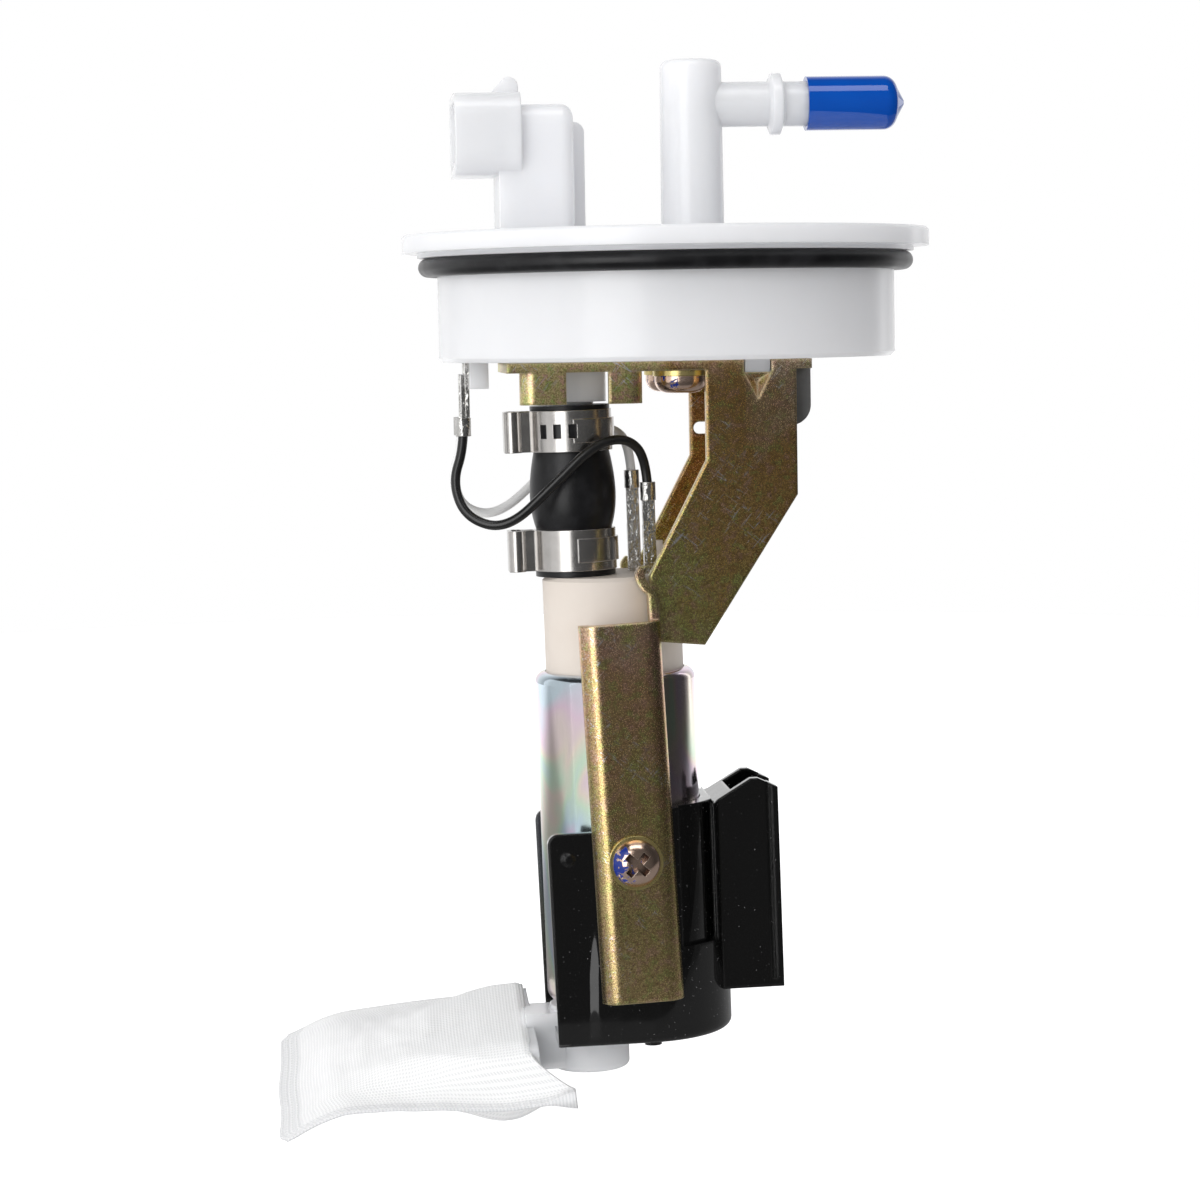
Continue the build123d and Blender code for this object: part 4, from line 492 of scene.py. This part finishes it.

# %% [markdown]
# ## Marks on the zinc
# The sheet has a fine grain with small pits, dark specks and pale scratches, and painted glints:
# small bright flecks of painted highlight. The plate and its prongs, close under the cover, are
# painted paler and more iridescent, a painted highlight where they catch the light. The sheared
# edges are worn and also painted brighter, part wear and part painted highlight. Each mark is a
# mask between 0 and 1, so the same mask can tint the film, change its gloss and raise its relief.

# %% Zinc masks
grain = zinc.noise(0.22, detail=3.0, rough=0.7)
hue = zinc.noise(2.0, detail=4.0, rough=0.65)
pink = zinc.step(hue, 0.53, 0.62)
green = zinc.step(hue, 0.47, 0.38)
pits = zinc.step(grain, 0.62, 0.38)
# painted highlight: glints are bright flecks painted into the colour, standing in for light
# caught by the grain
painted_glint = zinc.step(zinc.noise(0.30, detail=3.0, rough=0.7), 0.63, 0.73)
speck = zinc.step(zinc.noise(0.8, detail=4.0, rough=0.7), 0.58, 0.68)
scratch = zinc.step(zinc.streaks(0.5, 12, 0.7, 1.6), 0.66, 0.71)
scratch = scratch + zinc.step(zinc.streaks(0.5, 9, -0.9, 2.0), 0.66, 0.71)
scratch = scratch * zinc.step(zinc.noise(11, detail=1.0), 0.46, 0.60)
# painted highlight: the plate and prongs under the cover are painted paler
plate = zinc.step(zinc_z, -33, -29) * zinc.step(zinc_x, 0, -4)
# the edges are part wear, part painted highlight: painted brighter and made rougher
wear_and_highlight = zinc.edge_mask(0.5)

# %% Zinc surface
# On the plate, the pale gold, the stronger pink and green and the weaker pits are its painted
# highlight; the glint colour is painted highlight, and the edge colour is part wear, part painted
# highlight.
rainbow = 0.5 + plate * 0.25
zinc_layers = [
    (plate * 0.65, (1.0, 0.95, 0.50)),
    (pink * rainbow, (1.0, 0.60, 0.50)),
    (green * rainbow, (0.62, 0.80, 0.26)),
    (pits * (0.8 - plate * 0.15), (0.27, 0.155, 0.06)),
    (speck * 0.6, (0.14, 0.08, 0.05)),
    (painted_glint * 0.3, (1.0, 0.90, 0.62)),
    (scratch * 0.7, (0.96, 0.94, 1.0)),
    (wear_and_highlight * 0.7, (0.96, 0.84, 0.58)),
]
for share, colour in zinc_layers:
    film = zinc.mix(share, film, colour)
relief = grain * 0.6 + painted_glint * 0.15 + scratch * 0.5 - speck * 0.3
zinc.surface(
    Base_Color=film,
    Metallic=1.0,
    Roughness=0.20 + grain * 0.12 + wear_and_highlight * 0.25 + plate * 0.06,
    Normal=zinc.bump(relief, 0.011, 0.6, zinc.round_edges(0.9)),
)
paint(zinc.owner, "bracket")

# %% [markdown]
# ## The barrel
# The pump's tube has a paler, more rainbow-like zinc. A thin-film shader could work the colours
# out, but it would follow the viewing angle only. Here they lie in slow bands along the tube,
# from silver to rose and pale green, under a fine drawn grain, so a noise and a ramp fit better.

# %% Barrel zinc
tube = finish("barrel_zinc")
bands = tube.noise(17, detail=2.0, scale=(1, 1, 0.5), twist=1.2)
BAND_STOPS = [
    (0.26, (0.60, 0.72, 0.80)),
    (0.38, (0.82, 0.64, 0.76)),
    (0.47, (0.86, 0.76, 0.66)),
    (0.55, (0.66, 0.84, 0.66)),
    (0.64, (0.58, 0.74, 0.82)),
    (0.76, (0.74, 0.60, 0.82)),
]
drawn = tube.noise(0.3, detail=3.0, scale=(1, 1, 0.12))
tube.surface(
    Base_Color=tube.mix(drawn * 0.25, tube.ramp(bands, BAND_STOPS), (0.50, 0.49, 0.48)),
    Metallic=1.0,
    Roughness=0.11 + drawn * 0.07,
    Normal=tube.bump(drawn, 0.006, 0.4),
)
paint(tube.owner, "pump_barrel")

# %% [markdown]
# ## Small metal pieces
# Stainless clamps, tinned terminals, washers and a dark steel tab differ in colour and in the
# way they were rolled, drawn or pressed. One recipe serves them all: a metal colour with a few
# smudges, a grain that can be stretched along the way of rolling, and brighter edges.


# %% Small metal pieces
def metal(name, dark, light, rough, grain, depth, stretch=(1, 1, 1), edge=0.2):
    """Metal with a grain and edges given in millimetres."""
    coat = finish(name)
    smudge = coat.noise(3.0, detail=3.0)
    lines = coat.noise(grain, detail=3.0, scale=stretch)
    rim = coat.edge_mask(edge)
    brighter = tuple(min(1.0, 1.25 * c) for c in light)
    coat.colour = coat.mix(rim * 0.5, coat.mix(smudge, dark, light), brighter)
    coat.surface(
        Base_Color=coat.colour,
        Metallic=1.0,
        Roughness=rough + smudge * 0.12 + lines * 0.08,
        Normal=coat.bump(lines, depth, 0.4, coat.round_edges(edge)),
    )
    return coat


stainless = metal(
    "stainless_band", (0.50, 0.48, 0.46), (0.68, 0.66, 0.64),
    rough=0.13, grain=0.3, depth=0.010, stretch=(0.25, 0.25, 1),
)
paint(stainless.owner, "upper_clamp", "lower_clamp")
tinned = metal(
    "tinned_brass", (0.50, 0.49, 0.47), (0.80, 0.79, 0.77),
    rough=0.12, grain=1.3, depth=0.9, stretch=(1, 1, 0.7),
)
paint(tinned.owner, "cover_crimps", "pump_crimps", "pump_blades", "connector_blades")
dark_steel = metal(
    "dark_steel", (0.30, 0.30, 0.30), (0.45, 0.45, 0.44), rough=0.36, grain=0.4, depth=0.02,
)
paint(dark_steel.owner, "earth_tab")
washer = metal(
    "gold_washer", (0.66, 0.52, 0.20), (0.90, 0.76, 0.34),
    rough=0.18, grain=0.3, depth=0.010, edge=0.15,
)
paint(washer.owner, "plate_washers", "strip_washers")

# %% [markdown]
# ## Screws with locking paint
# The screws are copper-toned, with a dab of blue locking paint on one side of the head and
# a dark cross. The paint could be a piece of its own, but it is thinner than any mesh, so a
# noise that leans to the left of the head decides where it lies. The cross is darkened where
# the metal's own walls hide the light.


# %% Screws with locking paint
def middle_x(node):
    """The middle of a piece along X, in millimetres."""
    low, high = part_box(node)
    return (low[0] + high[0]) / (2 * MM)


def screw_finish(name, node, spread):
    """Copper-toned metal, dark in its cross, with blue paint on the left side."""
    copper = metal(
        name, (0.72, 0.48, 0.36), (0.94, 0.74, 0.62),
        rough=0.12, grain=0.3, depth=0.010, edge=0.15,
    )
    deep = copper.step(copper.hollows(1.6), 0.30, 0.75)
    bare = copper.mix(deep, copper.colour, (0.07, 0.022, 0.010))
    leftness = (middle_x(node) - copper.coordinate("X")) / spread
    patches = copper.noise(1.5, detail=4.0, twist=0.8)
    dab = copper.step(patches + leftness * 0.22, 0.62, 0.66)
    copper.surface(Base_Color=copper.mix(dab, bare, (0.012, 0.03, 0.22)), Metallic=1 - dab)
    paint(copper.owner, node)


screw_finish("copper_strip_screw", "strip_screws", spread=4.5)
screw_finish("copper_plate_screw", "plate_screws", spread=20.0)

# %% [markdown]
# ## Beige resin
# The pump head is a filled resin: warm beige and matt, with a faint speckle of filler and a few
# stains from fuel. The speckle is kept in the gloss and the relief, where it reads as grit;
# in the colour it would look like paint.

# %% Beige resin
resin = finish("beige_resin")
speckle = resin.noise(0.4, detail=2.0)
warm = resin.noise(7, detail=2.0)
stain = resin.step(resin.noise(2.2, detail=4.0), 0.66, 0.78)
beige = resin.mix(warm, (0.70, 0.625, 0.55), (0.77, 0.70, 0.63))
resin.surface(
    Base_Color=resin.mix(stain * 0.25, beige, (0.34, 0.28, 0.21)),
    Roughness=0.48 + speckle * 0.16,
    Normal=resin.bump(speckle, 0.015, 0.5, resin.round_edges(0.25)),
)
paint(resin.owner, "pump_head", "check_poppet", "check_stop", "relief_plug", "impeller")

# %% [markdown]
# ## Black plastic
# The holder is a glossy black moulding with smears and lint where hands have been. Its front
# flap bends gently towards the foot, and a bend that slight shows only as a bright streak in
# the gloss. A bump over that stretch turns the normal enough to catch the key box there.

# %% Black plastic
gloss = finish("black_plastic")
smear = gloss.step(gloss.noise(6, detail=4.0, scale=(1, 1, 0.5), twist=0.7), 0.42, 0.72)
lint = gloss.step(gloss.noise(0.5, detail=1.0), 0.72, 0.78)
ripple = gloss.noise(3.5, detail=1.0, scale=(1, 1, 0.4))
flap_side = gloss.step(gloss.coordinate("X") + ripple * 0.4, -18.4, -15.4)
flap_foot = gloss.step(gloss.coordinate("Z"), -112, -136)
eased = gloss.bump(flap_side * flap_foot, 0.55, 1.0, gloss.round_edges(0.8))
gloss.surface(
    Base_Color=gloss.mix(lint * 0.6, grey(0.002), grey(0.22)),
    Roughness=0.05 + smear * 0.10,
    Coat_Weight=0.5,
    Coat_Roughness=0.03,
    Normal=gloss.bump(ripple + lint * 0.2, 0.08, 0.4, eased),
)
paint(gloss.owner, "holder")

# %% [markdown]
# ## Inside the pump
# Nothing inside the pump shows until it is opened, yet each piece keeps a finish of its own:
# steel for the shaft, core and springs, copper for the windings, carbon for the brushes. The
# metal recipe from above serves again, so the inside costs only a few lines.

# %% Inner metals
steel = metal(
    "inner_steel", grey(0.42), grey(0.60), rough=0.24, grain=0.3, depth=0.01, stretch=(1, 1, 0.3),
)
paint(
    steel.owner,
    "rotor_shaft", "armature_core", "front_brush_spring", "rear_brush_spring",
    "check_spring", "relief_spring", "relief_ball",
)
winding = metal(
    "enamelled_copper", (0.38, 0.15, 0.06), (0.55, 0.25, 0.10),
    rough=0.22, grain=0.4, depth=0.05, stretch=(1, 1, 0.1),
)
paint(winding.owner, "armature_windings")
bronze = metal(
    "sintered_bronze", (0.34, 0.24, 0.12), (0.46, 0.34, 0.18), rough=0.4, grain=0.3, depth=0.02,
)
paint(bronze.owner, "upper_bush", "lower_bush")
cast = metal(
    "die_cast", (0.48, 0.48, 0.49), (0.58, 0.58, 0.59), rough=0.4, grain=0.5, depth=0.03,
)
paint(cast.owner, "casing_plate", "inlet_cover")

# %% Carbon
carbon = finish("brush_carbon")
soot = carbon.noise(0.6, detail=4.0)
carbon.surface(
    Base_Color=carbon.mix(soot, grey(0.012), grey(0.04)),
    Roughness=0.5 + soot * 0.2,
    Normal=carbon.bump(soot, 0.02, 0.5),
)
paint(carbon.owner, "commutator", "front_brush", "rear_brush", "magnets")

# %% [markdown]
# ## Springs as pieces of their own
# The brushes and valves press on small coil springs. A stiff coil would let a lifted brush run
# through it. Each spring becomes a piece of its own, carried by its joint's parent body, and the
# share of its length it would keep at the joint's full travel is worked out and printed. Its
# shape is a copy of the solid's mesh, merged into one skin, because the coil is already right.


# %% Springs
def give_spring(node, joint):
    coil = bpy.data.objects.new(node + "_coil", nodes[node].data.copy())
    scene.collection.objects.link(coil)
    bpy.ops.object.select_all(action="DESELECT")
    coil.select_set(True)
    bpy.context.view_layer.objects.active = coil
    bpy.ops.object.mode_set(mode="EDIT")
    bpy.ops.mesh.select_all(action="SELECT")
    bpy.ops.mesh.remove_doubles(threshold=0.001 * MM)
    bpy.ops.object.mode_set(mode="OBJECT")
    low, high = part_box(node)
    travel = max(abs(end) for end in joint["range_m"])
    keep = 1 - travel / (high[2] - low[2])
    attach(coil, joint["parent"])
    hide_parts(node)
    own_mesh(coil)
    print("spring", coil.name, "keeps", round(keep, 2), "of its length")


for joint in frame["joints"]:
    for entry in joint.get("deforming_nodes", []):
        give_spring(entry["node"], joint)

# %% [markdown]
# ## The two leads
# Each lead is crimped at both ends and springs into an easy S between them. A mesh tube could
# be swept by hand, but a NURBS curve takes the route's points as its control points, runs
# smoothly past the corners and gets its thickness from one number.

# %% Lead routes
BLACK_ROUTE = (
    (-38.7, -4.0, -31.4), (-38.7, -4.0, -36.2), (-41.0, -5.2, -42.6), (-38.6, -7.0, -49.2),
    (-31.2, -9.4, -51.3), (-22.6, -10.2, -43.3), (-14.9, -10.2, -35.8), (-8.7, -8.4, -34.6),
    (-4.67, -5.4, -38.56), (-4.51, -5.4, -45.76),
)
WHITE_ROUTE = (
    (-38.7, 4.0, -31.4), (-38.7, 4.0, -36.2), (-40.6, 5.2, -42.0), (-38.6, 7.6, -48.2),
    (-31.7, 9.0, -49.7), (-22.6, 10.2, -41.6), (-15.7, 10.65, -34.1), (-9.8, 8.2, -33.0),
    (-6.81, 3.4, -36.61), (-6.66, 3.4, -43.8),
)
BLACK_LENGTH = 66.7
WHITE_LENGTH = 64.8
LEAD_RADIUS = 0.9
print("routes of", len(BLACK_ROUTE), "and", len(WHITE_ROUTE), "points")


# %% Insulation
def insulation(name, dark, light, rough):
    sleeve = finish(name)
    mottled = sleeve.noise(2.5, detail=3.0)
    fine = sleeve.noise(0.3, detail=2.0)
    return sleeve.surface(
        Base_Color=sleeve.mix(mottled, dark, light),
        Roughness=rough + mottled * 0.15,
        Normal=sleeve.bump(fine, 0.01, 0.5),
        Coat_Weight=0.15,
    )


black_sleeve = insulation("black_insulation", grey(0.006), grey(0.014), 0.22)
white_sleeve = insulation("white_insulation", (0.82, 0.82, 0.81), (0.90, 0.90, 0.89), 0.30)
print("sleeves", black_sleeve.name, "and", white_sleeve.name)


# %% Leads as curves
def lay_lead(name, route, length, material, node):
    data = bpy.data.curves.new(name, "CURVE")
    data.dimensions = "3D"
    spline = data.splines.new("NURBS")
    spline.points.add(len(route) - 1)
    for point, place in zip(spline.points, route):
        point.co = (*[MM * v for v in place], 1.0)
    spline.order_u = 3
    spline.use_endpoint_u = True
    spline.resolution_u = 12
    data.bevel_depth = LEAD_RADIUS * MM
    data.bevel_resolution = 5
    data.use_fill_caps = True
    lead = bpy.data.objects.new(name, data)
    scene.collection.objects.link(lead)
    data.materials.append(material)
    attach(lead, "module")
    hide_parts(node)
    print("laid", name, length, "mm")


lay_lead("black_lead_curve", BLACK_ROUTE, BLACK_LENGTH, black_sleeve, "black_lead")
lay_lead("white_lead_curve", WHITE_ROUTE, WHITE_LENGTH, white_sleeve, "white_lead")

# %% [markdown]
# ## The strainer bag
# The bag is two sheets of woven nylon, welded along the far end and one long side, and held
# open by a plastic spreader. It swells near the mouth, thins towards the far end, and its free
# corners droop. A cloth simulation would round it like a cushion; two grids, one for each
# sheet, keep its flat hems when they are shaped by a few plain height formulas and sewn along
# their rims. Their own UV map carries the weave.

# %% Bag measures
SLOPE = math.radians(6.5)
TILT = math.radians(16.5)
MOUTH = Vector((-29.2, 0.0, -148.6))
BAG_LENGTH = 47.4
BAG_HALF = 20.4
BAG_LOBE = 8.0
CLOTH_HALF = 0.28
SWELL = 4.6
BELLY = 3.4
CREASE = 0.9
RIPPLE = 0.3
DROOP = 3.4
along = Vector((-math.cos(SLOPE), 0.0, -math.sin(SLOPE)))
across = Vector((0.0, math.cos(TILT), math.sin(TILT)))
outward = -along.cross(across).normalized()
print("bag of", BAG_LENGTH, "by", 2 * BAG_HALF, "mm")


# %% Bag height
def ease(value, low, high):
    """0 at low and before it, 1 at high and past it, smooth between."""
    share = min(1.0, max(0.0, (value - low) / (high - low)))
    return share * share * (3 - 2 * share)


def bag_height(run, side, top):
    """Height of a sheet above the bag's middle plane, in millimetres.

    `run` goes from the mouth to the far end, `side` from the near hem to the far side.
    """
    boxy = 1 - ease(run, 5, 26)
    near = ease(side, -18.6 + 1.1 * boxy, -8.0 - 5.2 * boxy)
    far = 1 - ease(side, 4.0 + 9.2 * boxy, 20.3 - 2.8 * boxy)
    body = near * far * (1 - ease(run, 37, 43.5))
    swell = SWELL * (1 - 0.8 * ease(run, 18, 43))
    if not top:
        bulge = math.exp(-((run - 5.0) / 14) ** 2) * math.exp(-((side + 13.5) / 6) ** 2)
        swell += BELLY * ease(run, -8, 4) * bulge
    crease = CREASE * noise.noise((run / 9 + side / 16, side / 12, 3.0 if top else 7.0))
    ripple = RIPPLE * noise.noise((run / 3.2, side / 4.5, 11.0 if top else 17.0))
    soft = math.sqrt(body) * (1 - 0.8 * boxy)
    lip = 1.5 * (1 - ease(side, -20.4, -16.0)) * (1 - ease(run, -8.5, -2.0))
    rolled = 0.7 * (1 - ease(run, -1.0, 0.6)) * ease(side, -14.0, -12.0)
    return swell * body + (crease + ripple) * soft + CLOTH_HALF + lip - rolled


# %% Bag sheets
def bag_point(u, v, top):
    """A point of the bag from its sheet's own coordinates, both 0 to 1."""
    side = -BAG_HALF + 2 * BAG_HALF * v
    nearness = 1 - ease(side, -19.5, -9.0)
    farness = ease(side, 12.0, 20.4)
    corner = ease(abs(side), 17.0, 20.4) ** 2
    lobe = (BAG_LOBE - 0.9) * (1 - ease(side, -18.0, -13.4))
    start = -0.9 - lobe + 5.0 * farness ** 2
    end = BAG_LENGTH - 1.6 * corner + 0.5 * noise.noise((side / 9, 0.5, 31.0))
    run = start + (end - start) * u
    height = bag_height(run, side, top)
    droop = -DROOP * ease(run, 30, 47.5) ** 2
    hem = -3.6 * (1 - ease(run, 2, 28)) + 0.9 * ease(run, 26, 36) - 0.6 * ease(run, 38, 47)
    wave = 0.45 * noise.noise((run / 7, 0.5, 23.0))
    sink = -0.6 * farness * (1 - ease(run, 2, 24))
    lift = (height if top else -height) + droop + (hem + wave) * nearness + sink
    return MOUTH + along * run + across * side + outward * lift


def bag_sheet(name, top):
    bpy.ops.object.select_all(action="DESELECT")
    bpy.ops.mesh.primitive_grid_add(
        x_subdivisions=110, y_subdivisions=84, size=1.0, calc_uvs=True,
    )
    sheet = bpy.context.object
    sheet.name = name
    for vertex in sheet.data.vertices:
        u = vertex.co.x + 0.5
        v = vertex.co.y + 0.5
        vertex.co = bag_point(u, v, top) * MM
    print("sheet", name, len(sheet.data.vertices), "points")
    return sheet


upper_sheet = bag_sheet("strainer_bag", True)
lower_sheet = bag_sheet("strainer_bag_lower", False)

# %% Sew the sheets
bpy.ops.object.select_all(action="DESELECT")
lower_sheet.select_set(True)
upper_sheet.select_set(True)
bpy.context.view_layer.objects.active = upper_sheet
bpy.ops.object.join()
bag = bpy.context.object
bpy.ops.object.mode_set(mode="EDIT")
bpy.ops.mesh.select_all(action="DESELECT")
bpy.ops.mesh.select_non_manifold()
bpy.ops.mesh.bridge_edge_loops()
bpy.ops.mesh.select_all(action="SELECT")
bpy.ops.mesh.normals_make_consistent(inside=False)
bpy.ops.object.mode_set(mode="OBJECT")
bpy.ops.object.shade_smooth()
print("bag faces:", len(bag.data.polygons))

# %% [markdown]
# ## Woven nylon
# The cloth is a plain weave with welded hems that show rows of dots. Modelling each thread would
# take millions of faces, so two wave textures on the sheet's UV map, one for each way of the
# threads, give the relief, and the gaps between threads are painted a little darker as painted
# shade.

# %% Threads
weave = finish("woven_nylon")
sheet_uv = weave.add("ShaderNodeTexCoord", out=2)
THREAD_PITCH = 0.62
DOT_PITCH = 1.6 * THREAD_PITCH
SHEET_LENGTH = BAG_LENGTH + 4
SHEET_WIDTH = 2 * BAG_HALF
WAVE_UNIT = math.pi / 10


def threads(direction, length, pitch):
    """Waves across one side of the sheet, one crest to each thread."""
    settings = {"wave_type": "BANDS", "bands_direction": direction}
    scale = WAVE_UNIT * length / pitch
    links = {"Vector": sheet_uv, "Scale": scale, "Distortion": 0.2, "Detail": 1.0}
    return weave.add("ShaderNodeTexWave", settings, links, out=1)


warp = threads("X", SHEET_LENGTH, THREAD_PITCH)
weft = threads("Y", SHEET_WIDTH, THREAD_PITCH)
dots = threads("X", SHEET_LENGTH, DOT_PITCH) * threads("Y", SHEET_WIDTH, DOT_PITCH)
print("threads every", THREAD_PITCH, "mm")

# %% Cloth
sheet_u = weave.add("ShaderNodeSeparateXYZ", links={0: sheet_uv})
sheet_v = weave.add("ShaderNodeSeparateXYZ", links={0: sheet_uv}, out=1)
end_hem = weave.step(sheet_u, 0.915, 0.925)
side_hem = 1 - weave.step(sheet_v, 0.045, 0.055)
hem = end_hem + side_hem - end_hem * side_hem
cloth = warp * 0.5 + weft * 0.5
# painted shade: the gaps between threads are darkened
gaps = weave.step(1 - warp, 0.3, 0.8) * weave.step(1 - weft, 0.3, 0.8)
tone = weave.noise(8, detail=3.0)
whites = weave.mix(gaps * 0.8, grey(0.98), (0.76, 0.765, 0.77))
whites = weave.mix(hem * (1 - dots) * 0.35, whites, (0.55, 0.56, 0.58))
whites = weave.mix(tone * 0.2, whites, grey(0.88))
weave.surface(
    Base_Color=whites,
    Roughness=0.6,
    Normal=weave.bump(cloth + hem * dots * 1.5, 0.12, 0.6),
    Subsurface_Weight=0.3,
    Subsurface_Radius=(0.0015, 0.0015, 0.0015),
    Sheen_Weight=0.15,
)
bag.data.materials.clear()
bag.data.materials.append(weave.owner)
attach(bag, "module")
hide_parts("strainer_sock")
print(weave.owner.name, "on", bag.name)
